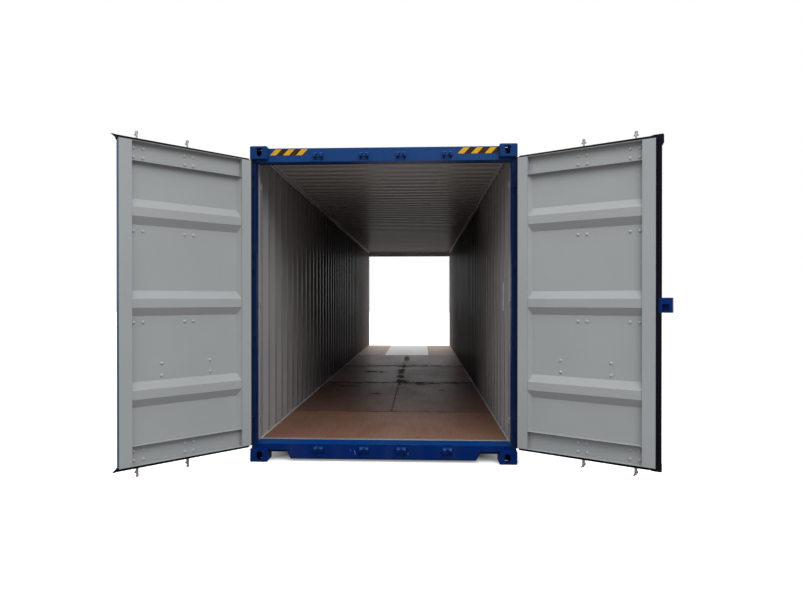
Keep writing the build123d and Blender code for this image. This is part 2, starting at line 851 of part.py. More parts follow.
def lock_staple():
    """Tab on the left leaf that enters the lock box when both leaves are closed."""
    window_x = leaf_inner_x - lock_box_past_edge + lock_box_window_from_end + lock_box_window_width / 2
    window_z = lock_box_low + lock_box_window_low + lock_box_window_height / 2
    with BuildPart() as staple:
        with BuildSketch(Plane.XZ.offset(-leaf_front_y)):
            with Locations((window_x, window_z)):
                Rectangle(staple_thickness, staple_height)
        extrude(amount=staple_depth)
    return staple.part


def lock_box():
    """Sheet-steel box past the free edge of the right leaf, open below, with a window behind."""
    box_x = leaf_inner_x - lock_box_past_edge
    back_y = leaf_front_y - swing_clearance
    front_y = back_y - lock_box_depth
    window_x = box_x + lock_box_window_from_end
    with BuildPart() as box:
        with BuildSketch(Plane.XY.offset(lock_box_low)):
            with Locations((box_x, front_y)):
                Rectangle(lock_box_width, lock_box_depth, align=(Align.MIN, Align.MIN))
        extrude(amount=lock_box_height)
        with BuildSketch(Plane.XY.offset(lock_box_low)):
            with Locations((box_x + lock_box_wall, front_y + lock_box_wall)):
                Rectangle(
                    lock_box_width - 2 * lock_box_wall,
                    lock_box_depth - 2 * lock_box_wall,
                    align=(Align.MIN, Align.MIN),
                )
        extrude(amount=lock_box_height - lock_box_wall, mode=Mode.SUBTRACT)
        with BuildSketch(Plane.XZ.offset(-back_y)):
            with Locations((window_x, lock_box_low + lock_box_window_low)):
                Rectangle(lock_box_window_width, lock_box_window_height, align=(Align.MIN, Align.MIN))
        extrude(amount=lock_box_wall, mode=Mode.SUBTRACT)
        with BuildSketch(Plane.XZ.offset(-leaf_front_y)):
            with Locations((leaf_inner_x, lock_box_low)):
                foot_width = lock_box_width - lock_box_past_edge
                Rectangle(foot_width, lock_box_height, align=(Align.MIN, Align.MIN))
        extrude(amount=swing_clearance)
    return box.part


def locking_bar(side, bar_x, low_keeper_z, low_keeper_height):
    """Closed tube with a cam at each end and a handle that lies flat along the leaf."""
    tube_low = leaf_bottom + bar_end_gap
    tube_high = leaf_top - bar_end_gap
    centre = (side * bar_x, bar_y)
    cams = [
        cam(side, centre, tube_high, keeper_top_z, keeper_height, 1),
        cam(side, centre, tube_low, low_keeper_z, low_keeper_height, -1),
    ]
    with BuildPart() as bar:
        with BuildSketch(Plane.XY.offset(tube_low)):
            with Locations(centre):
                Circle(bar_radius)
        extrude(amount=tube_high - tube_low)
        with BuildSketch(Plane.XY.offset(handle_height - handle_depth / 2)):
            with Locations(centre):
                Circle(handle_hub_radius)
            with Locations((side * bar_x, bar_y - bar_radius)):
                far = Align.MIN if side > 0 else Align.MAX
                Rectangle(handle_length, handle_thickness, align=(far, Align.CENTER))
        extrude(amount=handle_depth)
        with BuildSketch(Plane.XY.offset(tube_low + bar_wall)):
            with Locations(centre):
                Circle(bar_radius - bar_wall)
        extrude(amount=tube_high - tube_low - 2 * bar_wall, mode=Mode.SUBTRACT)
        add(cams)
    return bar.part


def cam(side, centre, tube_end, keeper_z, keeper_tall, up):
    """Collar, finger and side arm that seat between a keeper's lugs."""
    keeper_edge = keeper_z - up * keeper_tall / 2
    collar_end = keeper_edge - up * swing_clearance
    finger_end = keeper_z + up * (keeper_tall / 2 + cam_finger_past_keeper)
    free = Align.MAX if side > 0 else Align.MIN
    with BuildPart() as end:
        with BuildSketch(Plane.XY.offset(tube_end)):
            with Locations(centre):
                Circle(cam_collar_radius)
        extrude(amount=collar_end - tube_end)
        with BuildSketch(Plane.XY.offset(collar_end)):
            with Locations(centre):
                Circle(cam_finger_radius)
        extrude(amount=finger_end - collar_end)
        with BuildSketch(Plane.XY.offset(keeper_z - cam_arm_height / 2)):
            with Locations(centre):
                Rectangle(cam_arm_reach, cam_arm_width, align=(free, Align.CENTER))
        extrude(amount=cam_arm_height)
    return end.part


open_angles = {-1: left_open_angle, 1: right_open_angle}
for side, hand in ((-1, "left"), (1, "right")):
    angle = open_angles[side]
    leaf_pieces = {
        "door_frame": door_frame(side),
        "door_panel": door_panel(side),
        "door_gasket": door_gasket(side),
        "door_hardware": door_hardware(side),
    }
    if side > 0:
        leaf_pieces["lock_box"] = lock_box()
    for name, shape in leaf_pieces.items():
        stands = opened(shape, side, angle)
        write(stands, f"front_{hand}_{name}")
        write(to_rear(stands), f"rear_{hand}_{name}")
    for bar_name, bar_x in bar_positions.items():
        front_bar = locking_bar(side, bar_x, keeper_low_z, keeper_height)
        write(opened(front_bar, side, angle), f"front_{hand}_{bar_name}_bar")
        if bar_name == "inner":
            rear_bar = locking_bar(side, bar_x, tunnel_keeper_z, tunnel_keeper_height)
        else:
            rear_bar = front_bar
        write(to_rear(opened(rear_bar, side, angle)), f"rear_{hand}_{bar_name}_bar")
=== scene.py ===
import json
import math
import random

import bmesh
import bpy
from mathutils import Matrix, Vector


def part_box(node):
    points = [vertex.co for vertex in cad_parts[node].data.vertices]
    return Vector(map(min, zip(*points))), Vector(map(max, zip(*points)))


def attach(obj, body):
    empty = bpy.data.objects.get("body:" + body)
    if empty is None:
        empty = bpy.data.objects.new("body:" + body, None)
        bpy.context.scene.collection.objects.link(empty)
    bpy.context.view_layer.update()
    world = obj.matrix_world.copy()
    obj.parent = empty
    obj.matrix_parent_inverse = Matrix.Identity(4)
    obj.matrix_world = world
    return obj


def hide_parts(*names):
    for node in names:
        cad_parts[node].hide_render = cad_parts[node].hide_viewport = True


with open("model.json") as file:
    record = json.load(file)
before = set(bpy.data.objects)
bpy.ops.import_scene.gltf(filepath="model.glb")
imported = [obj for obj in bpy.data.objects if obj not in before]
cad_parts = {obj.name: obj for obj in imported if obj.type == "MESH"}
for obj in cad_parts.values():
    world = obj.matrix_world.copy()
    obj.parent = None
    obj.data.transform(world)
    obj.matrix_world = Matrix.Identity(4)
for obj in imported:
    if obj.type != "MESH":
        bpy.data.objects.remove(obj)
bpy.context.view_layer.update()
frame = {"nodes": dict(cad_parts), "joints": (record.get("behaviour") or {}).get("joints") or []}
print("frame loaded")

# Places shared by the pieces below, in metres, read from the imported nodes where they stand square
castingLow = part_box("bottom_corner_castings")[0]
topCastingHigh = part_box("top_corner_castings")[1]
floorLow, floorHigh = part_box("plywood_floor")
tunnelLow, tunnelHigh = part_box("gooseneck_tunnel")
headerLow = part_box("front_header")[0]
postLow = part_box("front_right_post")[0]
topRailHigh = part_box("top_side_rails")[1]
wallLow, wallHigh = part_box("right_side_wall")
faceY = castingLow.y
jointOf = {joint["name"]: joint for joint in frame["joints"]}

leaf = {
    "pinX": 1.204,
    "pinSetback": 0.018,
    "freeEdge": 0.007,
    "hingeEdge": 1.162,
    "bottom": 0.173,
    "top": 2.745,
    "outerDepth": 0.049,
    "uprightWidth": 0.100,
    "railHeight": 0.160,
    "sheetOuter": 0.052,
    "sheetInner": 0.054,
    "ridgeFace": 0.072,
    "ridgeSlope": 0.066,
    "ridgePitch": 0.728,
    "strapReach": 0.150,
    "railWeb": 0.003,
    "barXs": {"inner": 0.170, "outer": 0.590},
    "barDepth": 0.023,
}
leafMiddle = (leaf["bottom"] + leaf["top"]) / 2
corrugation = {"pitch": 0.278, "innerFlat": 0.070, "outerFlat": 0.072, "slope": 0.068}
keepers = {
    "topMiddle": 2.807,
    "lowMiddle": 0.108,
    "tunnelMiddle": 0.140,
    # Where the painted highlight starts above, and the painted shade lies below, the middle of a lug
    "lightFrom": 0.012,
    "shadeTop": -0.005,
    "shadeLow": -0.021,
    "chips": (60.0, 0.73),
    "rough": (0.34, 0.7),
    "specular": 0.12,
    "hoodSpan": (0.0135, 0.0405),
    "hoodProfile": (
        (0.046, 0.030), (0.030, 0.030), (0.012, 0.0245), (0.0055, 0.015), (0.0075, 0.011), (0.046, 0.015),
    ),
}
ends = {"front": 0.0, "rear": math.pi}
endPlaces = {end: Matrix.Rotation(turn, 4, "Z") for end, turn in ends.items()}
hands = {"left": -1, "right": 1}


def leafMatrix(end, hand):
    # Takes a point of the closed front leaf to where that leaf stands open
    side = hands[hand]
    closeAngle = jointOf[f"{end}_{hand}_door_hinge"]["range_deg"][1]
    pin = Vector((side * leaf["pinX"], faceY + leaf["pinSetback"], 0))
    swing = Matrix.Translation(pin) @ Matrix.Rotation(side * math.radians(closeAngle), 4, "Z")
    return endPlaces[end] @ swing @ Matrix.Translation(-pin)


def everyLeaf():
    for end in ends:
        for hand, side in hands.items():
            yield f"{end}_{hand}", end, hand, side, leafMatrix(end, hand)


# Mesh helpers
def addBlock(bm, low, high, chamfer=0.0):
    # A block, with the edges of its top face chamfered if asked
    corners = []
    levels = [(low.z, 0.0), (high.z - chamfer, 0.0)]
    if chamfer:
        levels.append((high.z, chamfer))
    for z, inset in levels:
        ring = [(low.x + inset, low.y + inset), (high.x - inset, low.y + inset)]
        ring += [(high.x - inset, high.y - inset), (low.x + inset, high.y - inset)]
        corners.append([bm.verts.new((x, y, z)) for x, y in ring])
    made = [bm.faces.new(list(reversed(corners[0]))), bm.faces.new(corners[-1])]
    for lower, upper in zip(corners, corners[1:]):
        for i in range(4):
            j = (i + 1) % 4
            made.append(bm.faces.new((lower[i], lower[j], upper[j], upper[i])))
    return made


def addTurned(bm, profile, matrix, segments=12):
    # A turned form round local Z, from (radius, height) pairs; closed at both ends
    rings = []
    for radius, height in profile:
        if radius == 0:
            rings.append([bm.verts.new(matrix @ Vector((0, 0, height)))])
            continue
        angles = [2 * math.pi * i / segments for i in range(segments)]
        points = [Vector((radius * math.cos(a), radius * math.sin(a), height)) for a in angles]
        rings.append([bm.verts.new(matrix @ point) for point in points])
    if len(rings[0]) > 1:
        bm.faces.new(list(reversed(rings[0])))
    if len(rings[-1]) > 1:
        bm.faces.new(rings[-1])
    for lower, upper in zip(rings, rings[1:]):
        for i in range(segments):
            j = (i + 1) % segments
            if len(upper) == 1:
                bm.faces.new((lower[i], lower[j], upper[0]))
            else:
                bm.faces.new((lower[i], lower[j], upper[j], upper[i]))


def addRod(bm, points, radius, segments=8):
    # A round bar along a list of points, closed at both ends
    rings = []
    for i, point in enumerate(points):
        before = points[max(i - 1, 0)]
        after = points[min(i + 1, len(points) - 1)]
        along = (after - before).normalized()
        across = (across - along * across.dot(along) if i else along.orthogonal()).normalized()
        other = along.cross(across)
        angles = [2 * math.pi * k / segments for k in range(segments)]
        ring = [point + across * math.cos(a) * radius + other * math.sin(a) * radius for a in angles]
        rings.append([bm.verts.new(corner) for corner in ring])
    bm.faces.new(list(reversed(rings[0])))
    bm.faces.new(rings[-1])
    for lower, upper in zip(rings, rings[1:]):
        for k in range(segments):
            j = (k + 1) % segments
            bm.faces.new((lower[k], lower[j], upper[j], upper[k]))


def addSolid(bm, points, faces):
    corners = [bm.verts.new(point) for point in points]
    for face in faces:
        bm.faces.new([corners[i] for i in face])


def addPrism(bm, outline, near, far, along="y"):
    # A flat outline given thickness: in x and z along y, or in y and z along x
    rings = []
    for depth in (near, far):
        corners = [(a, depth, z) if along == "y" else (depth, a, z) for a, z in outline]
        rings.append([bm.verts.new(corner) for corner in corners])
    bm.faces.new(rings[0])
    bm.faces.new(list(reversed(rings[1])))
    for i in range(len(outline)):
        j = (i + 1) % len(outline)
        bm.faces.new((rings[0][i], rings[1][i], rings[1][j], rings[0][j]))


def finishPiece(bm, name, material, body, smoothAngle=40, matrix=None):
    if matrix is not None:
        bmesh.ops.transform(bm, matrix=matrix, verts=bm.verts)
    bmesh.ops.recalc_face_normals(bm, faces=bm.faces)
    mesh = bpy.data.meshes.new(name)
    bm.to_mesh(mesh)
    bm.free()
    piece = bpy.data.objects.new(name, mesh)
    bpy.context.scene.collection.objects.link(piece)
    mesh.materials.append(material)
    mesh.shade_smooth()
    mesh.set_sharp_from_angle(angle=math.radians(smoothAngle))
    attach(piece, body)
    return piece


# Shader helpers
def newGroup(name, inputs, outputs=("Mask",)):
    # An input with no value of its own is a vector, and any other is a number
    tree = bpy.data.node_groups.new(name, "ShaderNodeTree")
    for label, value in inputs.items():
        kind = "NodeSocketVector" if value is None else "NodeSocketFloat"
        socket = tree.interface.new_socket(name=label, in_out="INPUT", socket_type=kind)
        if value is not None:
            socket.default_value = value
    for label in outputs:
        tree.interface.new_socket(name=label, in_out="OUTPUT", socket_type="NodeSocketFloat")
    return tree, tree.nodes.new("NodeGroupInput").outputs, tree.nodes.new("NodeGroupOutput").inputs


def fillIn(tree, node, inputs):
    # Each input is set to a value or linked to a socket
    for label, value in inputs.items():
        if isinstance(value, bpy.types.NodeSocket):
            tree.links.new(value, node.inputs[label])
        else:
            node.inputs[label].default_value = value


def put(tree, kind, inputs=None, **settings):
    node = tree.nodes.new(kind)
    for label, value in settings.items():
        setattr(node, label, value)
    fillIn(tree, node, inputs or {})
    return node


def mixColour(tree, factor, first, second, mode="MIX"):
    # Inputs 6 and 7 and output 2 are the colour ones of a Mix node
    colours = [part if isinstance(part, bpy.types.NodeSocket) else (*part, 1.0) for part in (first, second)]
    inputs = {0: factor, 6: colours[0], 7: colours[1]}
    return put(tree, "ShaderNodeMix", inputs, data_type="RGBA", blend_type=mode).outputs[2]


def calc(tree, operation, first, second=0.0, clamp=False):
    return put(tree, "ShaderNodeMath", {0: first, 1: second}, operation=operation, use_clamp=clamp).outputs[0]


def product(tree, *factors):
    result = factors[0]
    for factor in factors[1:]:
        result = calc(tree, "MULTIPLY", result, factor)
    return result


def above(tree, value, limit):
    return calc(tree, "GREATER_THAN", value, limit)


def below(tree, value, limit):
    return calc(tree, "LESS_THAN", value, limit)


def sizeOf(tree, value):
    return calc(tree, "ABSOLUTE", value)


def remap(tree, value, low, high, outLow=0.0, outHigh=1.0):
    inputs = {"Value": value, "From Min": low, "From Max": high, "To Min": outLow, "To Max": outHigh}
    return put(tree, "ShaderNodeMapRange", inputs).outputs[0]


def noiseAt(tree, vector, scale, detail=2.0, rough=0.5):
    inputs = {"Vector": vector, "Scale": scale, "Detail": detail, "Roughness": rough}
    return put(tree, "ShaderNodeTexNoise", inputs).outputs[0]


def waver(tree, noise, low, high):
    # Most of a noise lies between 0.3 and 0.7, which is drawn out here to low and high
    return remap(tree, noise, 0.3, 0.7, low, high)


def axesOf(tree, vector):
    return put(tree, "ShaderNodeSeparateXYZ", {0: vector}).outputs


def greyOf(tree, value):
    return put(tree, "ShaderNodeCombineColor", {0: value, 1: value, 2: value}).outputs[0]


def offsetFrom(tree, point, origin):
    return put(tree, "ShaderNodeVectorMath", {0: point, 1: origin}, operation="SUBTRACT").outputs[0]


def dotOf(tree, first, second):
    return put(tree, "ShaderNodeVectorMath", {0: first, 1: second}, operation="DOT_PRODUCT").outputs["Value"]


def stretched(tree, vector, scale):
    return put(tree, "ShaderNodeVectorMath", {0: vector, 1: scale}, operation="MULTIPLY").outputs[0]


# Softness, spread and place of the effects that the groups below give
effects = {
    "cloudNoise": (6.0, 0.62),
    "cloudEdge": (0.78, 0.22),
    "runNoise": (4.0, 0.6),
    "runStretch": (1.0, 1.0, 0.06),
    "runEdge": (0.52, 0.75),
    "chipNoise": (5.0, 0.7),
    "chipShares": (0.7, 0.3),
    "chipBroadScale": 1.7,
    "chipEdge": 0.015,
    "facingEdge": (0.10, 0.12),
    "leafMargin": 0.0005,
    "leafTurn": 0.1,
    "dentScale": 2.6,
    "peelScale": 260.0,
    "peelHeight": 0.02,
    # Noise, reach and waver of the painted shade in the middle of the hold
    "holdShadeNoise": (0.7, 3.0),
    "holdShadeReach": (1.8, 4.9),
    "holdShadeWaver": 0.6,
    "spotNoise": (6.0, 6.0, 0.72),
    "spotStretch": (1.5, 0.40, 1.0),
    "spotRagged": 0.85,
    "spotEdge": (0.62, 0.80),
    "seamNoise": (5.5, 6.0, 0.7),
    "seamEdge": (0.42, 0.70),
    "seamSpread": (0.15, 2.6),
}
# Size of a corner casting, how thick its walls are taken to be, and what of it counts as facing the hold
casting = {"length": 0.178, "width": 0.162, "height": 0.118, "skin": 0.004, "roofLap": 0.010, "turned": -0.5}


def buildCloudGroup():
    # Soft blotches of wear or dirt
    tree, given, result = newGroup("softBlotches", {"Vector": None, "Scale": 2.0, "Cover": 0.5})
    noise = noiseAt(tree, given[0], given[1], *effects["cloudNoise"])
    rarest, width = effects["cloudEdge"]
    low = calc(tree, "SUBTRACT", rarest, product(tree, given[2], 0.5))
    tree.links.new(remap(tree, noise, low, calc(tree, "ADD", low, width)), result[0])
    return tree


def buildRunsGroup():
    # Streaks that run down a wall
    tree, given, result = newGroup("downwardRuns", {"Vector": None, "Scale": 9.0})
    noise = noiseAt(tree, stretched(tree, given[0], effects["runStretch"]), given[1], *effects["runNoise"])
    tree.links.new(remap(tree, noise, *effects["runEdge"]), result[0])
    return tree


def buildChipGroup():
    # Small hard-edged chips and scuffs
    tree, given, result = newGroup("paintChips", {"Vector": None, "Scale": 40.0, "Rarity": 0.74})
    fine = noiseAt(tree, given[0], given[1], *effects["chipNoise"])
    broad = noiseAt(tree, given[0], effects["chipBroadScale"])
    fineShare, broadShare = effects["chipShares"]
    both = calc(tree, "ADD", product(tree, fine, fineShare), product(tree, broad, broadShare))
    edge = calc(tree, "ADD", given[2], effects["chipEdge"])
    tree.links.new(remap(tree, both, given[2], edge), result[0])
    return tree


def buildFacingGroup():
    # One where the surface faces the given direction of its own frame
    tree, given, result = newGroup("facingSide", {"Direction": None})
    normal = put(tree, "ShaderNodeTexCoord").outputs["Normal"]
    tree.links.new(remap(tree, dotOf(tree, normal, given[0]), *effects["facingEdge"]), result[0])
    return tree


def buildLeafSideGroup():
    # One on the leaf's inner side: faces that look inwards, and edge faces behind the outer sheet
    tree, given, result = newGroup("leafInnerSide", {"Inward": None, "Along": None, "Pin": None})
    coordinates = put(tree, "ShaderNodeTexCoord").outputs
    offset = offsetFrom(tree, coordinates["Object"], given[2])
    facingIn = dotOf(tree, coordinates["Normal"], given[0])
    depth = dotOf(tree, offset, given[0])
    reach = dotOf(tree, offset, given[1])
    height = axesOf(tree, coordinates["Object"])["Z"]
    margin, turn = effects["leafMargin"], effects["leafTurn"]
    mask = above(tree, depth, leaf["sheetOuter"] - leaf["pinSetback"] + margin)
    for value, low, high in (
        (reach, leaf["pinX"] - leaf["hingeEdge"], leaf["pinX"] - leaf["freeEdge"]),
        (height, leaf["bottom"], leaf["top"]),
    ):
        mask = product(tree, mask, above(tree, value, low + margin), below(tree, value, high - margin))
    mask = product(tree, mask, above(tree, facingIn, -turn))
    tree.links.new(calc(tree, "MAXIMUM", mask, above(tree, facingIn, turn)), result[0])
    return tree


def buildSheetGroup():
    # Slight dents and the orange peel of sprayed paint, as a height
    tree, given, result = newGroup("sheetWaves", {"Vector": None, "Dents": 1.0}, ("Height",))
    broad = noiseAt(tree, given[0], effects["dentScale"])
    fine = noiseAt(tree, given[0], effects["peelScale"])
    peel = product(tree, fine, effects["peelHeight"])
    tree.links.new(calc(tree, "ADD", product(tree, broad, given[1]), peel), result[0])
    return tree


def buildHoldShadeGroup():
    # Painted shade that lies deepest in the middle of the hold and fades out near both ends
    tree, given, result = newGroup("holdMiddleShade", {"Vector": None})
    shift = effects["holdShadeWaver"]
    noise = noiseAt(tree, given[0], *effects["holdShadeNoise"])
    along = sizeOf(tree, axesOf(tree, given[0])["Y"])
    wavy = calc(tree, "ADD", along, waver(tree, noise, -shift, shift))
    tree.links.new(remap(tree, wavy, *effects["holdShadeReach"], 1.0, 0.0), result[0])
    return tree


def buildSpotGroup():
    # One ragged stain round a point, drawn out along the boards
    tree, given, result = newGroup("raggedSpot", {"Vector": None, "At": None, "Stretch": None})
    scaled = stretched(tree, offsetFrom(tree, given[0], given[1]), given[2])
    far = put(tree, "ShaderNodeVectorMath", {0: scaled}, operation="LENGTH").outputs["Value"]
    noise = noiseAt(tree, stretched(tree, given[0], effects["spotStretch"]), *effects["spotNoise"])
    ragged = effects["spotRagged"]
    edge = calc(tree, "ADD", far, waver(tree, noise, -ragged, ragged))
    tree.links.new(remap(tree, edge, *effects["spotEdge"], 1.0, 0.0), result[0])
    return tree


def buildSeamGroup():
    # Dirt gathered along a seam, from the distance to it
    tree, given, result = newGroup("seamDirt", {"Vector": None, "Distance": 1.0, "Width": 0.03})
    noise = noiseAt(tree, given[0], *effects["seamNoise"])
    reach = product(tree, given[2], remap(tree, noise, *effects["seamEdge"], *effects["seamSpread"]))
    nearness = calc(tree, "SUBTRACT", 1.0, calc(tree, "DIVIDE", given[1], reach), clamp=True)
    tree.links.new(calc(tree, "POWER", nearness, 0.5), result[0])
    return tree


def buildHollowGroup():
    # One inside the hollow of a corner casting, behind its outer faces
    tree, given, result = newGroup("castingHollow", {"Vector": None})
    spot = axesOf(tree, given[0])
    depth = calc(tree, "SUBTRACT", -faceY, sizeOf(tree, spot["Y"]))
    across = calc(tree, "SUBTRACT", -castingLow.x, sizeOf(tree, spot["X"]))
    height = calc(tree, "MINIMUM", spot["Z"], calc(tree, "SUBTRACT", topCastingHigh.z, spot["Z"]))
    mask, skin = 1.0, casting["skin"]
    for value, size in ((depth, casting["length"]), (across, casting["width"]), (height, casting["height"])):
        mask = product(tree, above(tree, value, skin), mask)
        mask = product(tree, below(tree, value, size - skin), mask)
    tree.links.new(mask, result[0])
    return tree


blotches = buildCloudGroup()
runs = buildRunsGroup()
chips = buildChipGroup()
facing = buildFacingGroup()
leafSide = buildLeafSideGroup()
sheetWaves = buildSheetGroup()
seamDirt = buildSeamGroup()
raggedSpot = buildSpotGroup()
holdMiddleShade = buildHoldShadeGroup()
castingHollow = buildHollowGroup()
print("shader groups built")


def useGroup(tree, group, inputs):
    return put(tree, "ShaderNodeGroup", inputs, node_tree=group).outputs[0]


def dirtOf(tree, where, scale, cover):
    return useGroup(tree, blotches, {"Vector": where, "Scale": scale, "Cover": cover})


def chipsOf(tree, where, scale, rarity):
    return useGroup(tree, chips, {"Vector": where, "Scale": scale, "Rarity": rarity})


def blend(tree, mask, strength, base, colour):
    # The colour laid over the base where the mask is, at most at the given strength
    return mixColour(tree, product(tree, mask, strength), base, colour)


def newMaterial(name):
    material = bpy.data.materials.new(name)
    material.use_nodes = True
    tree = material.node_tree
    shader = tree.nodes["Principled BSDF"]
    where = put(tree, "ShaderNodeTexCoord").outputs["Object"]
    return material, tree, shader, where


def linkBump(tree, shader, height, distance, strength=1.0):
    bump = put(tree, "ShaderNodeBump", {"Height": height, "Distance": distance, "Strength": strength})
    tree.links.new(bump.outputs[0], shader.inputs["Normal"])


paint = {
    "blue": (0.006, 0.044, 0.170),
    # Darker copy of the blue paint: painted shade on the sills and the bottom castings
    "sillBlue": (0.0015, 0.019, 0.125),
    "castingBlue": (0.005, 0.036, 0.138),
    # Near black: painted shade inside the castings' hollows
    "hollow": (0.0012, 0.003, 0.010),
    # Lighter blue on the sill faces turned up: a painted highlight
    "slopeBlue": (0.002, 0.040, 0.178),
    # Dark blue of the sill lips: painted shade along the sills' bottom edge
    "lipBlue": (0.003, 0.012, 0.055),
    # Darker copy of the blue paint: painted shade on the posts and the hinge straps
    "postBlue": (0.006, 0.019, 0.080),
    "postGrey": (0.400, 0.410, 0.440),
    "leafGrey": (0.340, 0.355, 0.352),
    # The walls share one grey paint: the left is painted darker as shade and the right lighter as light
    "leftWallGrey": (0.300, 0.292, 0.284),
    "rightWallGrey": (0.370, 0.357, 0.345),
    "roofGrey": (0.470, 0.446, 0.428),
    "railGrey": (0.300, 0.291, 0.282),
    # Colour of the painted shade deep in the hold
    "grimeAndHoldShade": (0.075, 0.060, 0.060),
    # Near-black retainer paint, darker than the blue: painted shade along the right leaves' free edge
    "retainer": (0.004, 0.005, 0.016),
    # Keepers: painted highlight, the blue on the header and its darker copy as painted shade on the sill, and
    # painted shade below the lugs
    "keeperLight": (0.010, 0.058, 0.200),
    "keeperBlue": (0.008, 0.052, 0.190),
    "lowKeeperBlue": (0.002, 0.021, 0.128),
    "keeperDark": (0.003, 0.018, 0.100),
    "lockBlue": (0.003, 0.024, 0.150),
    "farGrey": (0.520, 0.505, 0.500),
    "rust": (0.115, 0.038, 0.014),
    "dust": (0.170, 0.150, 0.125),
    "tunnel": (0.780, 0.790, 0.780),
    "underframe": (0.018, 0.019, 0.022),
    "trodden": (0.235, 0.118, 0.076),
}


sheetBump = {"depth": 0.004, "strength": 0.5}
spray = {
    "toneNoise": (0.9, 3.0),
    "tones": (0.95, 1.05),
    "dirtScale": 3.1,
    "dirt": 0.10,
    "runScale": 7.0,
    "runs": 0.05,
    "chipScale": 34.0,
    "rarity": 0.74,
    "wearChips": 0.06,
    "dirtDullness": 0.16,
    "chipDullness": 0.3,
    "chipDepth": 0.05,
}


def makePaint(
    name, colour, inner=None, inward=None, leafAt=None,
    dirt=0.35, wear=1.0, gloss=0.36, specular=0.12, grimeAndHoldShade=0.0,
):
    # Sprayed steel in one colour, or with a second one on the side that faces inwards; that second colour can
    # carry painted shade, deepest in the middle of the hold
    material, tree, shader, where = newMaterial(name)
    base = colour
    if leafAt is not None:
        turn = leafAt.to_3x3()
        pin = leafAt @ Vector((inward * leaf["pinX"], faceY + leaf["pinSetback"], 0))
        inputs = {"Inward": turn @ Vector((0, 1, 0)), "Along": turn @ Vector((-inward, 0, 0)), "Pin": pin}
        base = mixColour(tree, useGroup(tree, leafSide, inputs), colour, inner)
    elif inner:
        # Painted shade darkens the inner colour towards the middle of the hold
        if grimeAndHoldShade:
            inner = blend(tree, useGroup(tree, holdMiddleShade, {"Vector": where}), grimeAndHoldShade, inner, paint["grimeAndHoldShade"])
        base = mixColour(tree, useGroup(tree, facing, {"Direction": inward}), colour, inner)
    tone = waver(tree, noiseAt(tree, where, *spray["toneNoise"]), *spray["tones"])
    base = mixColour(tree, 1.0, base, greyOf(tree, tone), "MULTIPLY")
    dirtMask = dirtOf(tree, where, spray["dirtScale"], dirt)
    base = blend(tree, dirtMask, spray["dirt"] * wear, base, paint["dust"])
    runMask = useGroup(tree, runs, {"Vector": where, "Scale": spray["runScale"]})
    base = blend(tree, runMask, spray["runs"] * wear, base, paint["dust"])
    chipMask = chipsOf(tree, where, spray["chipScale"], spray["rarity"] - spray["wearChips"] * wear)
    base = mixColour(tree, chipMask, base, paint["rust"])
    rough = remap(tree, dirtMask, 0.0, 1.0, gloss, gloss + spray["dirtDullness"])
    rough = calc(tree, "ADD", rough, product(tree, chipMask, spray["chipDullness"]))
    fillIn(tree, shader, {"Base Color": base, "Roughness": rough, "Specular IOR Level": specular})
    height = useGroup(tree, sheetWaves, {"Vector": where, "Dents": 1.0})
    height = calc(tree, "SUBTRACT", height, product(tree, chipMask, spray["chipDepth"]))
    linkBump(tree, shader, height, sheetBump["depth"], sheetBump["strength"])
    return material


# Dirt, chips and sheen of the frame's steel: blotch scale, cover and strength, how rare the chips are, shine
finishParts = ("scale", "cover", "dirt", "rarity", "rough", "specular")
steelFinishes = {
    "rail": (3.1, 0.40, 0.12, 0.70, (0.38, 0.55), 0.12),
    "post": (3.1, 0.35, 0.10, 0.68, (0.36, 0.52), 0.06),
    "threshold": (6.0, 0.50, 0.15, 0.68, (0.42, 0.60), 0.10),
    "casting": (4.0, 0.40, 0.10, 0.69, (0.38, 0.55), 0.06),
}


def finishSteel(tree, shader, where, base, kind):
    finish = dict(zip(finishParts, steelFinishes[kind]))
    dirtMask = dirtOf(tree, where, finish["scale"], finish["cover"])
    base = blend(tree, dirtMask, finish["dirt"], base, paint["dust"])
    chipMask = chipsOf(tree, where, spray["chipScale"], finish["rarity"])
    base = mixColour(tree, chipMask, base, paint["rust"])
    rough = remap(tree, dirtMask, 0, 1, *finish["rough"])
    fillIn(tree, shader, {"Base Color": base, "Roughness": rough, "Specular IOR Level": finish["specular"]})
    height = useGroup(tree, sheetWaves, {"Vector": where, "Dents": 1.0})
    linkBump(tree, shader, height, sheetBump["depth"], sheetBump["strength"])


def makeRailPaint():
    # Side rails are grey on every face that can be seen from the hold
    material, tree, shader, where = newMaterial("sideRailPaint")
    spot = axesOf(tree, where)
    pitch = corrugation["pitch"]
    length = wallHigh.y - wallLow.y + corrugation["innerFlat"]
    firstFold = wallLow.y + (length - pitch * (length // pitch)) / 2
    firstMiddle = firstFold + corrugation["slope"] + corrugation["outerFlat"] / 2
    fromMiddle = calc(tree, "PINGPONG", calc(tree, "SUBTRACT", spot["Y"], firstMiddle), pitch / 2)
    flat = corrugation["outerFlat"] / 2
    wallAt = remap(tree, fromMiddle, flat, flat + corrugation["slope"], wallHigh.x, wallLow.x)
    inside = below(tree, sizeOf(tree, spot["X"]), wallAt)
    inside = product(tree, inside, below(tree, spot["Z"], topRailHigh.z - railTopMargin))
    base = mixColour(tree, inside, paint["blue"], paint["railGrey"])
    finishSteel(tree, shader, where, base, "rail")
    return material


rebate = {"depth": 0.122, "lap": 0.002}
treading = {"depth": 0.210, "waver": 0.008, "noise": (3.0, 5.0), "strength": 0.85}
railTopMargin = 0.001


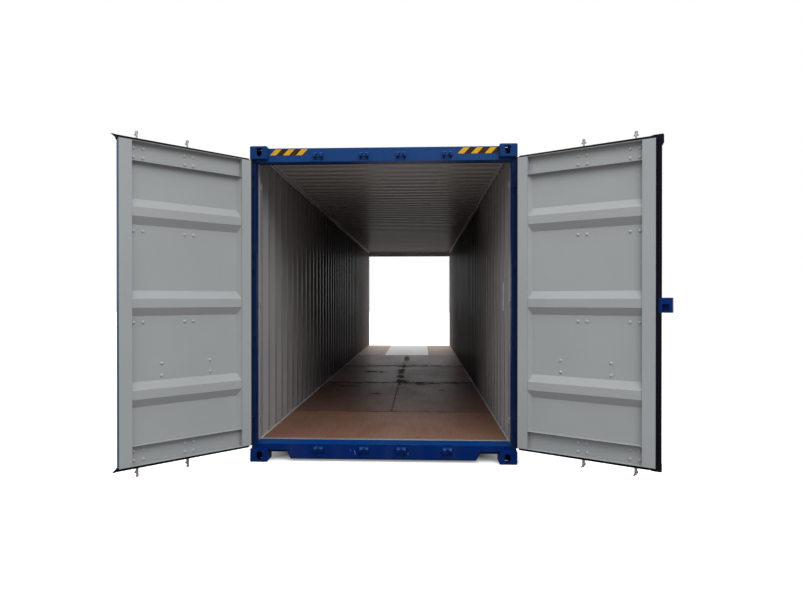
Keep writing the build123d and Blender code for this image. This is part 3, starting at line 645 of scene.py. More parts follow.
def makePostPaint():
    # Posts are painted grey where they run on behind the door's rebate
    material, tree, shader, where = newMaterial("postPaint")
    spot = axesOf(tree, where)
    behind = below(tree, sizeOf(tree, spot["Y"]), -faceY - rebate["depth"])
    beside = below(tree, sizeOf(tree, spot["X"]), postLow.x + rebate["lap"])
    # The posts' blue is the darker copy, painted shade
    base = mixColour(tree, product(tree, behind, beside), paint["postBlue"], paint["postGrey"])
    finishSteel(tree, shader, where, base, "post")
    return material


def makeThresholdPaint():
    # The inner part of each threshold is trodden as brown as the boards
    material, tree, shader, where = newMaterial("thresholdPaint")
    spot = axesOf(tree, where)
    noise = noiseAt(tree, where, *treading["noise"])
    shift = treading["waver"]
    edge = calc(tree, "ADD", sizeOf(tree, spot["Y"]), waver(tree, noise, -shift, shift))
    trodden = product(tree, below(tree, edge, -faceY - treading["depth"]), treading["strength"])
    base = mixColour(tree, trodden, paint["leafGrey"], paint["trodden"])
    finishSteel(tree, shader, where, base, "threshold")
    return material


def makeKeeperPaint():
    # Keepers have a painted highlight on top and on faces turned up, and painted shade below the middle of
    # their lugs; the sill's keepers take a darker, shaded copy of the blue
    material, tree, shader, where = newMaterial("keeperPaint")
    height = axesOf(tree, where)["Z"]
    onHeader = above(tree, height, leafMiddle)
    lift = product(tree, onHeader, keepers["topMiddle"] - keepers["lowMiddle"])
    middle = calc(tree, "ADD", lift, keepers["lowMiddle"])
    rise = calc(tree, "SUBTRACT", height, middle)
    shaded = below(tree, rise, keepers["shadeTop"])
    shaded = product(tree, shaded, above(tree, rise, keepers["shadeLow"]))
    body = mixColour(tree, onHeader, paint["lowKeeperBlue"], paint["keeperBlue"])
    base = mixColour(tree, shaded, body, paint["keeperDark"])
    lit = above(tree, rise, keepers["lightFrom"])
    lit = calc(tree, "MAXIMUM", lit, useGroup(tree, facing, {"Direction": (0, 0, 1)}))
    base = mixColour(tree, lit, base, paint["keeperLight"])
    chipMask = chipsOf(tree, where, *keepers["chips"])
    base = mixColour(tree, chipMask, base, paint["rust"])
    rough = remap(tree, chipMask, 0, 1, *keepers["rough"])
    fillIn(tree, shader, {"Base Color": base, "Roughness": rough})
    fillIn(tree, shader, {"Specular IOR Level": keepers["specular"]})
    return material


def makeCastingPaint(name, colour, holdColour):
    # Castings get painted shade inside their hollows, and the top ones are grey where they look into the hold
    material, tree, shader, where = newMaterial(name)
    normal = put(tree, "ShaderNodeTexCoord").outputs["Normal"]
    spot = axesOf(tree, where)
    endSign = calc(tree, "SIGN", spot["Y"])
    outward = product(tree, axesOf(tree, normal)["Y"], endSign)
    besideWall = below(tree, sizeOf(tree, spot["X"]), wallLow.x)
    belowRoof = below(tree, spot["Z"], topRailHigh.z - casting["roofLap"])
    turned = below(tree, outward, casting["turned"])
    intoHold = product(tree, product(tree, besideWall, belowRoof), turned)
    base = mixColour(tree, intoHold, colour, holdColour)
    base = mixColour(tree, useGroup(tree, castingHollow, {"Vector": where}), base, paint["hollow"])
    finishSteel(tree, shader, where, base, "casting")
    return material


zincFinish = {
    "plain": (0.42, 0.43, 0.44),
    "claws": (0.36, 0.36, 0.37),
    "dirtColour": (0.12, 0.11, 0.10),
    "darkCells": 0.82,
    "cellScale": 70.0,
    "dirtSpread": (6.0, 0.55),
    "chips": (60.0, 0.64),
    "strapSpecular": 0.10,
    "dirt": 0.4,
    "rusty": 0.8,
    "metal": 0.75,
    "clawMetal": 0.30,
    "rough": (0.42, 0.72),
    "bump": 0.0002,
}


def makeZinc(name, side=0, leafAt=None, colour=zincFinish["plain"], metal=zincFinish["metal"]):
    # Galvanised steel with its spangle and a few rusty bruises; hinge straps are painted over in blue
    material, tree, shader, where = newMaterial(name)
    cells = put(tree, "ShaderNodeTexVoronoi", {"Vector": where, "Scale": zincFinish["cellScale"]})
    cellTone = put(tree, "ShaderNodeSeparateColor", {0: cells.outputs["Color"]}).outputs[0]
    base = mixColour(tree, cellTone, [part * zincFinish["darkCells"] for part in colour], colour)
    dirtMask = dirtOf(tree, where, *zincFinish["dirtSpread"])
    base = blend(tree, dirtMask, zincFinish["dirt"], base, zincFinish["dirtColour"])
    chipMask = chipsOf(tree, where, *zincFinish["chips"])
    base = blend(tree, chipMask, zincFinish["rusty"], base, paint["rust"])
    if leafAt is not None:
        pin = leafAt @ Vector((side * leaf["pinX"], 0, 0))
        along = leafAt.to_3x3() @ Vector((-side, 0, 0))
        strap = below(tree, dotOf(tree, offsetFrom(tree, where, pin), along), leaf["strapReach"])
        # Straps take the posts' darker blue, painted shade
        base = mixColour(tree, strap, base, paint["postBlue"])
        shader.inputs["Specular IOR Level"].default_value = zincFinish["strapSpecular"]
        metal = remap(tree, strap, 0, 1, metal, 0.0)
    rough = remap(tree, dirtMask, 0, 1, *zincFinish["rough"])
    fillIn(tree, shader, {"Base Color": base, "Roughness": rough, "Metallic": metal})
    linkBump(tree, shader, calc(tree, "ADD", cellTone, chipMask), zincFinish["bump"])
    return material


rubberFinish = {
    "black": (0.010, 0.008, 0.013),
    "dust": (0.026, 0.024, 0.023),
    "dirtSpread": (7.0, 0.5),
    "grain": (180.0, 3.0),
    "dusty": 0.3,
    "rough": (0.55, 0.8),
    "specular": 0.05,
    "bump": 0.0004,
}


def makeRubber(name):
    material, tree, shader, where = newMaterial(name)
    dirtMask = dirtOf(tree, where, *rubberFinish["dirtSpread"])
    base = blend(tree, dirtMask, rubberFinish["dusty"], rubberFinish["black"], rubberFinish["dust"])
    rough = remap(tree, dirtMask, 0, 1, *rubberFinish["rough"])
    fillIn(tree, shader, {"Base Color": base, "Roughness": rough})
    fillIn(tree, shader, {"Specular IOR Level": rubberFinish["specular"]})
    linkBump(tree, shader, noiseAt(tree, where, *rubberFinish["grain"]), rubberFinish["bump"])
    return material


plywoodStains = {
    "colour": (0.048, 0.020, 0.018),
    "across": ((4.100, 0.115, 0.90), (6.540, 0.125, 0.70), (1.618, 0.024, 0.45)),
    "middleFrom": 1.618,
    "middleWidth": 0.026,
    "middleStrength": 0.6,
    "spots": (
        ((0.030, 4.300), (0.125, 0.360), 1.00),
        ((0.020, 4.900), (0.105, 0.400), 0.90),
        ((-0.010, 5.600), (0.105, 0.480), 0.80),
        ((0.010, 6.500), (0.075, 0.450), 0.60),
        ((0.030, 8.000), (0.080, 0.700), 0.45),
        ((-0.560, 5.550), (0.250, 0.180), 0.65),
        ((0.330, 3.950), (0.100, 0.110), 0.55),
        ((0.640, 3.300), (0.090, 0.080), 0.25),
        ((-0.760, 3.700), (0.260, 0.100), 0.30),
        ((-0.300, 3.000), (0.120, 0.080), 0.15),
    ),
}


plywoodFinish = {
    "grain": (2.4, 7.0, 0.66),
    "grainStretch": (26.0, 1.3, 26.0),
    "grainTones": (0.80, 1.16),
    "blotchSpread": (2.3, 0.62),
    "blotchStretch": (1.0, 0.55, 1.0),
    "blotchColour": (0.060, 0.028, 0.020),
    "blotches": 0.13,
    "dustSpread": (1.6, 0.7),
    "dustStretch": (2.2, 0.35, 1.0),
    "dustColour": (0.23, 0.19, 0.15),
    "dust": 0.10,
    "rough": (0.43, 0.50),
    "stainDullness": 0.25,
    "specular": 0.09,
    "bump": 0.0008,
}


def makePlywood(name):
    # Tropical plywood with its grain along the container, stains and wheel marks
    material, tree, shader, where = newMaterial(name)
    tone = put(tree, "ShaderNodeAttribute", attribute_name="boardTone").outputs["Color"]
    grain = noiseAt(tree, stretched(tree, where, plywoodFinish["grainStretch"]), *plywoodFinish["grain"])
    grainColour = greyOf(tree, waver(tree, grain, *plywoodFinish["grainTones"]))
    base = mixColour(tree, 1.0, tone, grainColour, "MULTIPLY")
    drawnOut = stretched(tree, where, plywoodFinish["blotchStretch"])
    blotchMask = dirtOf(tree, drawnOut, *plywoodFinish["blotchSpread"])
    base = blend(tree, blotchMask, plywoodFinish["blotches"], base, plywoodFinish["blotchColour"])
    drawnOut = stretched(tree, where, plywoodFinish["dustStretch"])
    dustMask = dirtOf(tree, drawnOut, *plywoodFinish["dustSpread"])
    base = blend(tree, dustMask, plywoodFinish["dust"], base, plywoodFinish["dustColour"])
    spot = axesOf(tree, where)
    stain = plywoodStains["colour"]
    soaked = 0.0
    for depth, width, strength in plywoodStains["across"]:
        distance = sizeOf(tree, calc(tree, "SUBTRACT", spot["Y"], faceY + depth))
        mask = useGroup(tree, seamDirt, {"Vector": where, "Distance": distance, "Width": width})
        base = blend(tree, mask, strength, base, stain)
        soaked = calc(tree, "MAXIMUM", mask, soaked)
    behindFront = above(tree, spot["Y"], faceY + plywoodStains["middleFrom"])
    inputs = {"Vector": where, "Distance": sizeOf(tree, spot["X"]), "Width": plywoodStains["middleWidth"]}
    mask = product(tree, useGroup(tree, seamDirt, inputs), behindFront)
    base = blend(tree, mask, plywoodStains["middleStrength"], base, stain)
    for (x, depth), (halfX, halfY), strength in plywoodStains["spots"]:
        inputs = {"Vector": where, "At": (x, faceY + depth, floorHigh.z)}
        inputs["Stretch"] = (1 / halfX, 1 / halfY, 1.0)
        mask = useGroup(tree, raggedSpot, inputs)
        base = blend(tree, mask, strength, base, stain)
        soaked = calc(tree, "MAXIMUM", mask, soaked)
    rough = remap(tree, blotchMask, 0, 1, *plywoodFinish["rough"])
    rough = calc(tree, "ADD", rough, product(tree, soaked, plywoodFinish["stainDullness"]), clamp=True)
    fillIn(tree, shader, {"Base Color": base, "Roughness": rough})
    fillIn(tree, shader, {"Specular IOR Level": plywoodFinish["specular"]})
    linkBump(tree, shader, grain, plywoodFinish["bump"])
    return material


grimeAndHoldShade = {
    "spread": (12.0, 0.5),
    "colour": (0.10, 0.09, 0.08),
    "dullness": 0.2,
    "grainScale": 140.0,
    "bump": 0.0003,
}
smallFinishes = {
    "paintedBolt": {"colour": (0.42, 0.43, 0.43), "rough": 0.35},
    "floorScrewSteel": {"colour": (0.20, 0.18, 0.16), "rough": 0.45, "metal": 0.7},
    "stripeYellow": {"colour": (0.66, 0.345, 0.018), "rough": 0.45, "spread": 0.05},
    "stripeBrown": {"colour": (0.030, 0.016, 0.010)},
    "bareLabelWhite": {"colour": (0.80, 0.81, 0.80), "spread": 0.2},
    "sealantGrey": {"colour": (0.70, 0.69, 0.67), "rough": 0.6, "spread": 0.05},
    "footSealant": {"colour": (0.42, 0.41, 0.40), "rough": 0.6},
    "scratchPale": {"colour": (0.30, 0.36, 0.46), "rough": 0.6},
    "bareDataPlate": {"colour": (0.55, 0.56, 0.57), "rough": 0.35, "metal": 0.85},
}


def makePlain(name, colour, rough=0.5, metal=0.0, spread=0.12, specular=0.12):
    # Small parts of one colour with a little grime
    material, tree, shader, where = newMaterial(name)
    dirtMask = dirtOf(tree, where, *grimeAndHoldShade["spread"])
    base = blend(tree, dirtMask, spread * 2, colour, grimeAndHoldShade["colour"])
    dull = remap(tree, dirtMask, 0, 1, rough, min(rough + grimeAndHoldShade["dullness"], 1.0))
    fillIn(tree, shader, {"Base Color": base, "Roughness": dull})
    fillIn(tree, shader, {"Metallic": metal, "Specular IOR Level": specular})
    linkBump(tree, shader, noiseAt(tree, where, grimeAndHoldShade["grainScale"]), grimeAndHoldShade["bump"])
    return material


# The sills take the darker copy of the blue as painted shade, with a lighter blue on faces turned up as a
# painted highlight
sillPaint = makePaint(
    "blueSillPaint", paint["sillBlue"], paint["slopeBlue"], (0, 0, 1), dirt=0.5, wear=0.8, specular=0.04
)
# Sill lips in dark blue, painted shade under the sills' edge
lipPaint = makePaint("sillLipPaint", paint["lipBlue"], dirt=0.5, specular=0.04)
lockPaint = makePaint("blueLockBoxPaint", paint["lockBlue"], specular=0.05)
# The bottom castings take the darker copy of the blue, painted shade
lowCastingPaint = makeCastingPaint("lowCastingPaint", paint["sillBlue"], paint["sillBlue"])
topCastingPaint = makeCastingPaint("topCastingPaint", paint["castingBlue"], paint["farGrey"])
postPaint = makePostPaint()
railPaint = makeRailPaint()
keeperPaint = makeKeeperPaint()
greyPaint = makePaint("greyInsidePaint", paint["leafGrey"], wear=0.5)
tunnelPaint = makePaint("tunnelPlatePaint", paint["tunnel"], dirt=0.4, wear=0.6, gloss=0.30, specular=0.5)
underPaint = makePaint("underframePaint", paint["underframe"], dirt=0.8, gloss=0.6)
retainerPaint = makePaint("retainerPaint", paint["retainer"], specular=0.05)
zinc = makeZinc("galvanisedSteel")
clawSteel = makeZinc("camClawSteel", colour=zincFinish["claws"], metal=zincFinish["clawMetal"])
rubber = makeRubber("gasketRubber")
plywood = makePlywood("floorPlywood")
small = {name: makePlain(name, **finish) for name, finish in smallFinishes.items()}
print("materials made")


# Sheen of the walls and the roof, and how strong the painted shade in the middle of the hold is on each
wallShine = {
    "left": {"specular": 0.05, "grimeAndHoldShade": 0.80},
    "right": {"specular": 0.03, "grimeAndHoldShade": 1.0},
    "roof": {"specular": 0.09, "grimeAndHoldShade": 0.35, "gloss": 0.30},
}


def dress(node, material):
    slots = frame["nodes"][node].data.materials
    slots.clear()
    slots.append(material)


dress("bottom_corner_castings", lowCastingPaint)
dress("top_corner_castings", topCastingPaint)
for end, turn in ends.items():
    inward = (0, math.cos(turn), 0)
    dress(f"{end}_header", makePaint(f"{end}HeaderPaint", paint["blue"], paint["farGrey"], inward))
    dress(f"{end}_sill", sillPaint)
    dress(f"{end}_cam_keepers", keeperPaint)
    for hand in hands:
        dress(f"{end}_{hand}_post", postPaint)
dress("threshold_angles", makeThresholdPaint())
dress("cross_members", underPaint)
dress("gooseneck_tunnel", tunnelPaint)
for hand, side in hands.items():
    # Each wall takes its own grey, a shaded copy on the left and a lit copy on the right
    inner, inward = paint[f"{hand}WallGrey"], (-side, 0, 0)
    wallPaint = makePaint(f"{hand}WallPaint", paint["blue"], inner, inward, wear=0.6, **wallShine[hand])
    dress(f"{hand}_side_wall", wallPaint)
inner, inward = paint["roofGrey"], (0, 0, -1)
dress("roof_panel", makePaint("roofPaint", paint["blue"], inner, inward, wear=0.6, **wallShine["roof"]))
dress("top_side_rails", railPaint)
dress("bottom_side_rails", railPaint)
for key, end, hand, side, place in everyLeaf():
    name = f"{end}{hand.title()}"
    leafPaint = makePaint(f"{name}LeafPaint", paint["blue"], paint["leafGrey"], side, place, wear=0.4)
    dress(f"{key}_door_frame", leafPaint)
    dress(f"{key}_door_panel", leafPaint)
    dress(f"{key}_door_gasket", rubber)
    dress(f"{key}_door_hardware", makeZinc(f"{name}Hardware", side, place))
    for bar in leaf["barXs"]:
        dress(f"{key}_{bar}_bar", zinc)
    if side > 0:
        dress(f"{key}_lock_box", lockPaint)
print("frame nodes dressed")


# Bolts through the leaves, for the bar guides and the handle catches
bolts = {
    "guideSpread": 0.037,
    "railRise": 0.036,
    "catchRise": 0.050,
    "railGuides": (0.245, 2.657),
    "panelGuides": (1.306, 2.034),
    "catchHeight": 0.918,
    "catchOffset": 0.186,
    "domeRadius": 0.0125,
    "domeHeight": 0.009,
    "headRadius": 0.0095,
    "headHeight": 0.0065,
    "washerRadius": 0.0150,
    "footDepth": 0.006,
    "sink": 0.0002,
    "washerRim": 0.0012,
    "washerTop": 0.0014,
    "domeLift": 0.001,
    "headChamfer": 0.8,
}


def boltPlaces():
    # (distance from the middle joint, height, depth of the inner face) for one leaf
    spread = bolts["guideSpread"]
    webDepth = leaf["outerDepth"] + leaf["railWeb"]
    for barX in leaf["barXs"].values():
        for height in bolts["railGuides"]:
            for dx in (-spread, spread):
                for dz in (-bolts["railRise"], bolts["railRise"]):
                    yield barX + dx, height + dz, webDepth
        for height in bolts["panelGuides"]:
            for dx in (-spread, spread):
                yield barX + dx, height, leaf["sheetInner"]
        for dz in (-bolts["catchRise"], bolts["catchRise"]):
            yield barX + bolts["catchOffset"], bolts["catchHeight"] + dz, leaf["sheetInner"]


domeProfile = [(1.0, 0.0), (0.97, 0.25), (0.80, 0.62), (0.45, 0.92), (0.0, 1.0)]
dome = [(r * bolts["domeRadius"], bolts["domeLift"] + h * bolts["domeHeight"]) for r, h in domeProfile]
washer = [
    (bolts["washerRadius"], -bolts["sink"]),
    (bolts["washerRadius"], bolts["washerRim"]),
    (0.0, bolts["washerTop"]),
]
headRadius, headHeight, headPart = bolts["headRadius"], bolts["headHeight"], bolts["headChamfer"]
head = [(headRadius, -bolts["sink"]), (headRadius, headHeight * headPart)]
head += [(headRadius * headPart, headHeight), (0.0, headHeight)]
turnInward = Matrix.Rotation(math.radians(-90), 4, "X")
turnOutward = Matrix.Rotation(math.radians(90), 4, "X")
for key, end, hand, side, place in everyLeaf():
    inside = bmesh.new()
    outside = bmesh.new()
    for x, z, depth in boltPlaces():
        at = Matrix.Translation((side * x, faceY + depth, z)) @ turnInward
        addTurned(inside, washer, at, 14)
        addTurned(inside, dome, at, 14)
        footY = faceY + leaf["outerDepth"] - bolts["footDepth"]
        addTurned(outside, head, Matrix.Translation((side * x, footY, z)) @ turnOutward, 6)
    finishPiece(inside, f"{key}_inner_bolts", small["paintedBolt"], f"{key}_leaf", 50, place)
    finishPiece(outside, f"{key}_bolt_heads", zinc, f"{key}_leaf", 30, place)
print("leaf bolts made")


# Folds that join the leaf's panel to its uprights
folds = {"hingeWidth": 0.030, "freeWidth": 0.010, "rise": 0.034}


def flatStretches():
    # Flat parts of the panel as (foot low, foot high, top low, top high) heights
    slope = leaf["ridgeSlope"]
    faceHalf = leaf["ridgeFace"] / 2
    low = leaf["bottom"] + leaf["railHeight"]
    lowTop = low
    for step in (-leaf["ridgePitch"], 0, leaf["ridgePitch"]):
        middle = leafMiddle + step
        yield low, middle - faceHalf - slope, lowTop, middle - faceHalf
        low = middle + faceHalf + slope
        lowTop = middle + faceHalf
    end = leaf["top"] - leaf["railHeight"]
    yield low, end, lowTop, end


for key, end, hand, side, place in everyLeaf():
    bm = bmesh.new()
    flatY = faceY + leaf["sheetInner"]
    riseY = flatY + folds["rise"]
    hingeSide = leaf["hingeEdge"] - leaf["uprightWidth"]
    freeSide = leaf["freeEdge"] + leaf["uprightWidth"]
    for edgeX, shift in ((hingeSide, -folds["hingeWidth"]), (freeSide, folds["freeWidth"])):
        footX = side * (edgeX + shift)
        topX = side * edgeX
        for footLow, footHigh, topLow, topHigh in flatStretches():
            points = [
                (footX, flatY, footLow),
                (footX, flatY, footHigh),
                (topX, riseY, topHigh),
                (topX, riseY, topLow),
                (topX, flatY, footLow),
                (topX, flatY, footHigh),
            ]
            addSolid(bm, points, [(0, 1, 2, 3), (0, 4, 5, 1), (4, 3, 2, 5), (0, 3, 4), (1, 5, 2)])
    finishPiece(bm, f"{key}_panel_folds", greyPaint, f"{key}_leaf", 20, place)
print("panel folds made")


# Rubber lips that stand out from the leaves' edges
lips = {
    "back": 0.0488,
    "front": 0.0458,
    "root": 0.012,
    "topReach": (0.031, 0.027),
    "bottomReach": (0.033, 0.030),
    "hingeEnd": 1.160,
    "starts": {"left": 0.055, "right": 0.062},
    "keeperGap": (0.124, 0.216, 0.012),
    "cornerDepths": {"left": (0.0458, 0.0488), "right": (0.0365, 0.0445)},
    "edgeStrip": (1.152, 1.1645, 0.0985, 0.1008),
    "freeCover": (0.0048, 0.0074, 0.063, 0.0945),
    "retainer": (-0.0055, 0.002, 0.0442, 0.063),
    "retainerInset": 0.02,
}
# Horns of the left leaves and corner blocks of the right ones, as (place, rise past the leaf's edge)
cornerOutlines = {
    ("left", 1): (
        (-0.055, -0.012), (-0.007, -0.010), (0.0015, -0.003), (0.0015, 0.009), (0.0187, 0.020),
        (0.034, 0.032), (0.034, 0.035), (0.0102, 0.033), (-0.007, 0.031), (-0.055, 0.031),
    ),
    ("left", -1): (
        (-0.055, -0.012), (-0.007, -0.001), (0.0015, 0.002), (0.0015, 0.009), (0.0165, 0.020),
        (0.030, 0.033), (0.030, 0.036), (0.009, 0.035), (-0.007, 0.033), (-0.055, 0.033),
    ),
    ("right", 1): (
        (-0.041, -0.030), (-0.041, 0.031), (-0.038, 0.036), (-0.032, 0.038), (0.030, 0.038),
        (0.062, 0.031), (0.062, -0.004), (0.029, -0.030), (0.020, -0.066), (-0.022, -0.066),
    ),
    ("right", -1): (
        (-0.029, -0.030), (-0.029, 0.031), (-0.026, 0.036), (-0.020, 0.038), (0.030, 0.038),
        (0.062, 0.033), (0.062, -0.004), (0.029, -0.030), (0.020, -0.045), (-0.022, -0.045),
    ),
}


def lipSpans(end, start, up):
    # Stretches of one lip as (start, stop, reach at start, reach at stop) from the free end to the hinges
    reachFree, reachHinge = lips["topReach"] if up > 0 else lips["bottomReach"]
    stop = lips["hingeEnd"]

    def reachAt(x):
        return reachFree + (reachHinge - reachFree) * x / stop

    if end == "rear" and up < 0:
        gapStart, gapStop, gapReach = lips["keeperGap"]
        yield start, gapStart, reachAt(start), reachAt(gapStart)
        yield gapStart, gapStop, gapReach, gapReach
        yield gapStop, stop, reachAt(gapStop), reachAt(stop)
    else:
        yield start, stop, reachAt(start), reachAt(stop)


def addStrip(bm, sizes, inset, side=1):
    # An upright strip as tall as the leaf, less the inset
    near, far, front, back = sizes
    low, high = leaf["bottom"] + inset, leaf["top"] - inset
    outline = [(near, low), (far, low), (far, high), (near, high)]
    addPrism(bm, [(side * x, z) for x, z in outline], faceY + front, faceY + back)


for key, end, hand, side, place in everyLeaf():
    bm = bmesh.new()
    nearY, farY = faceY + lips["front"], faceY + lips["back"]
    for edgeZ, up in ((leaf["top"], 1), (leaf["bottom"], -1)):
        rootZ = edgeZ - up * lips["root"]
        for low, high, lowReach, highReach in lipSpans(end, lips["starts"][hand], up):
            outline = [(low, rootZ), (high, rootZ)]
            outline += [(high, edgeZ + up * highReach), (low, edgeZ + up * lowReach)]
            addPrism(bm, [(side * x, z) for x, z in outline], nearY, farY)
        outline = [(x, edgeZ + up * rise) for x, rise in cornerOutlines[hand, up]]
        front, back = lips["cornerDepths"][hand]
        addPrism(bm, outline, faceY + front, faceY + back)
    addStrip(bm, lips["edgeStrip"], 0, side)
    if side > 0:
        addStrip(bm, lips["freeCover"], 0)
    finishPiece(bm, f"{key}_gasket_lips", rubber, f"{key}_leaf", 30, place)
    # The retainer's near-black is painted shade along the free edge
    if side > 0:
        bar = bmesh.new()
        addStrip(bar, lips["retainer"], lips["retainerInset"])
        finishPiece(bar, f"{end}_gasket_retainer", retainerPaint, f"{key}_leaf", 30, place)
print("gasket lips made")


# Hoods welded over the keepers' lugs
for end, place in endPlaces.items():
    bm = bmesh.new()
    for side in hands.values():
        for bar, barX in leaf["barXs"].items():
            # The flat keepers over the tunnel's mouth have none
            middles = [keepers["topMiddle"]]
            if end == "front" or bar == "outer":
                middles.append(keepers["lowMiddle"])
            for middle in middles:
                outline = [(faceY + depth, middle + rise) for depth, rise in keepers["hoodProfile"]]
                for nearX, farX in (keepers["hoodSpan"], [-x for x in keepers["hoodSpan"]]):
                    addPrism(bm, outline, side * barX + nearX, side * barX + farX, "x")
    finishPiece(bm, f"{end}_keeper_hoods", keeperPaint, "root", 35, place)
print("keeper hoods made")


# Claws forged on the cams; outlines run from the bar's middle line towards the leaf's free edge, and outwards
claws = {
    "thickness": 0.013,
    "leftTop": (
        ((-0.004, -0.006), (0.004, -0.007), (0.018, -0.005), (0.020, 0.003), (0.012, 0.007), (-0.004, 0.006)),
        ((-0.011, 0.011), (-0.009, 0.030), (0.004, 0.033), (0.010, 0.028), (0.011, 0.012)),
    ),
    "leftLow": (
        ((-0.010, -0.010), (0.010, -0.010), (0.0195, -0.004), (0.02, 0.008), (0.010, 0.012), (-0.010, 0.008)),
        (
            (-0.010, 0.009), (0.008, 0.013), (0.004, 0.022), (0.010, 0.032),
            (0.009, 0.041), (-0.009, 0.041), (-0.012, 0.030),
        ),
        ((-0.010, -0.034), (0.010, -0.034), (0.010, -0.011), (-0.010, -0.011)),
    ),
    "rightTop": (
        ((-0.019, -0.008), (-0.020, 0.002), (-0.006, 0.006), (0.014, 0.006), (0.020, 0.000), (0.018, -0.008)),
        ((-0.012, 0.011), (-0.012, 0.026), (-0.004, 0.033), (0.011, 0.030), (0.012, 0.012)),
    ),
    "rightLow": (
        ((-0.010, -0.012), (0.010, -0.010), (0.0195, -0.001), (0.02, 0.009), (0.010, 0.018), (-0.010, 0.014)),
        ((-0.010, 0.015), (0.009, 0.019), (0.000, 0.028), (-0.012, 0.039), (-0.020, 0.041), (-0.0195, 0.031)),
        ((-0.010, -0.034), (0.010, -0.034), (0.010, -0.011), (-0.010, -0.013)),
    ),
}
for key, end, hand, side, place in everyLeaf():
    for bar, barX in leaf["barXs"].items():
        bm = bmesh.new()
        inTunnel = end == "rear" and bar == "inner"
        lowMiddle = keepers["tunnelMiddle"] if inTunnel else keepers["lowMiddle"]
        middleY, half = faceY + leaf["barDepth"], claws["thickness"] / 2
        for middle, up, kind in ((keepers["topMiddle"], 1, "Top"), (lowMiddle, -1, "Low")):
            outlines = claws[hand + kind]
            if inTunnel and up < 0:
                outlines = outlines[:1]
            for outline in outlines:
                points = [(side * (barX - across), middle + up * out) for across, out in outline]
                addPrism(bm, points, middleY - half, middleY + half)
        body = f"{key}_{bar}_bar"
        finishPiece(bm, f"{key}_{bar}_cam_claws", clawSteel, body, 30, place)
print("cam claws made")


# Beads of sealant along the floor and the roof
sealant = {
    "foot": (1.1600, 1.1705, 0.1710, 0.1815),
    "roofLines": ((1.1530, 2.8335), (1.1530, 2.8665)),
    "radius": 0.0075,
    "endMargin": 0.190,
}
bm = bmesh.new()
foot = bmesh.new()
startY = faceY + sealant["endMargin"]
for side in hands.values():
    nearX, farX, footLow, footHigh = sealant["foot"]
    outline = [(side * nearX, footLow), (side * farX, footLow), (side * farX, footHigh)]
    addPrism(foot, outline, startY, -startY)
    for lineX, lineZ in sealant["roofLines"]:
        line = [Vector((side * lineX, y, lineZ)) for y in (startY, -startY)]
        addRod(bm, line, sealant["radius"], 6)
finishPiece(bm, "roof_sealant", small["sealantGrey"], "root", 30)
finishPiece(foot, "floor_sealant", small["footSealant"], "root", 30)
print("sealant laid")


# Lips of the bottom plates that show below the sills' front sheets
sillLips = {
    "depth": 0.050,
    "thickness": 0.010,
    "tunnelGap": 0.004,
    "sheet": ((0.844, 0.034), (0.882, 0.109), (1.0565, 0.109)),
    "lip": ((1.0565, 0.097), (0.8905, 0.097), (0.852, 0.021)),
}
for end, place in endPlaces.items():
    bm = bmesh.new()
    lipY = faceY + sillLips["depth"]
    if end == "front":
        spans = [[(-x, z) for x, z in reversed(sillLips["sheet"])] + list(sillLips["sheet"])]
        spans[0] += list(sillLips["lip"]) + [(-x, z) for x, z in reversed(sillLips["lip"])]
    else:
        innerX = tunnelHigh.x + sillLips["tunnelGap"]
        outer = [*sillLips["sheet"], *sillLips["lip"]]
        outer = [(innerX, outer[0][1]), *outer, (innerX, outer[-1][1])]
        spans = [outer, [(-x, z) for x, z in outer]]
    for outline in spans:
        addPrism(bm, outline, lipY, lipY + sillLips["thickness"])
    finishPiece(bm, f"{end}_sill_lips", lipPaint, "root", 30, place)
print("sill lips made")


# Scratches on the front sill
scratches = {
    "depth": 0.0006,
    "lines": (
        ((-0.262, 0.104), (-0.256, 0.086), (-0.253, 0.060), 0.0026),
        ((-0.300, 0.112), (-0.296, 0.104), (-0.290, 0.098), 0.0020),
        ((0.232, 0.090), (0.230, 0.078), (0.231, 0.066), 0.0018),
        ((0.640, 0.070), (0.652, 0.064), (0.668, 0.061), 0.0018),
        ((-0.610, 0.058), (-0.590, 0.060), (-0.566, 0.057), 0.0016),
    ),
}
bm = bmesh.new()
sillY = faceY + sillLips["depth"]
for *points, width in scratches["lines"]:
    outline = [(x - width / 2, z) for x, z in points] + [(x + width / 2, z) for x, z in reversed(points)]
    addPrism(bm, outline, sillY - scratches["depth"], sillY)
finishPiece(bm, "sill_scratches", small["scratchPale"], "root", 30)
print("scratches made")


# Floor of plywood boards laid on the cross members, with the joints where the photo shows them
boards = {
    "jointDepths": (1.618, 4.100, 6.540),
    "gap": 0.004,
    "chamfer": 0.002,
    # Rows differ in their own tone; from the second row on they also grow lighter towards the far doorway,
    # painted light and painted sheen from that doorway
    "tones": {
        "front": (0.235, 0.118, 0.076),
        "second": (0.155, 0.080, 0.058),
        "third": (0.380, 0.215, 0.165),
        "fourth": (0.460, 0.290, 0.240),
        "far": (0.740, 0.490, 0.360),
    },
    # Radius and height of the floor screws, from the rim below the board's face to the middle
    "screwProfile": ((0.0075, -0.0008), (0.007125, 0.0004), (0.0, 0.0002)),
    "screwPitch": 0.300,
    "firstRow": 0.320,
    "screwsAcross": 5,
    "screwMargin": 0.05,
    "rowMargin": 0.03,
    "rowWander": 0.006,
    "toneWander": 0.10,
}


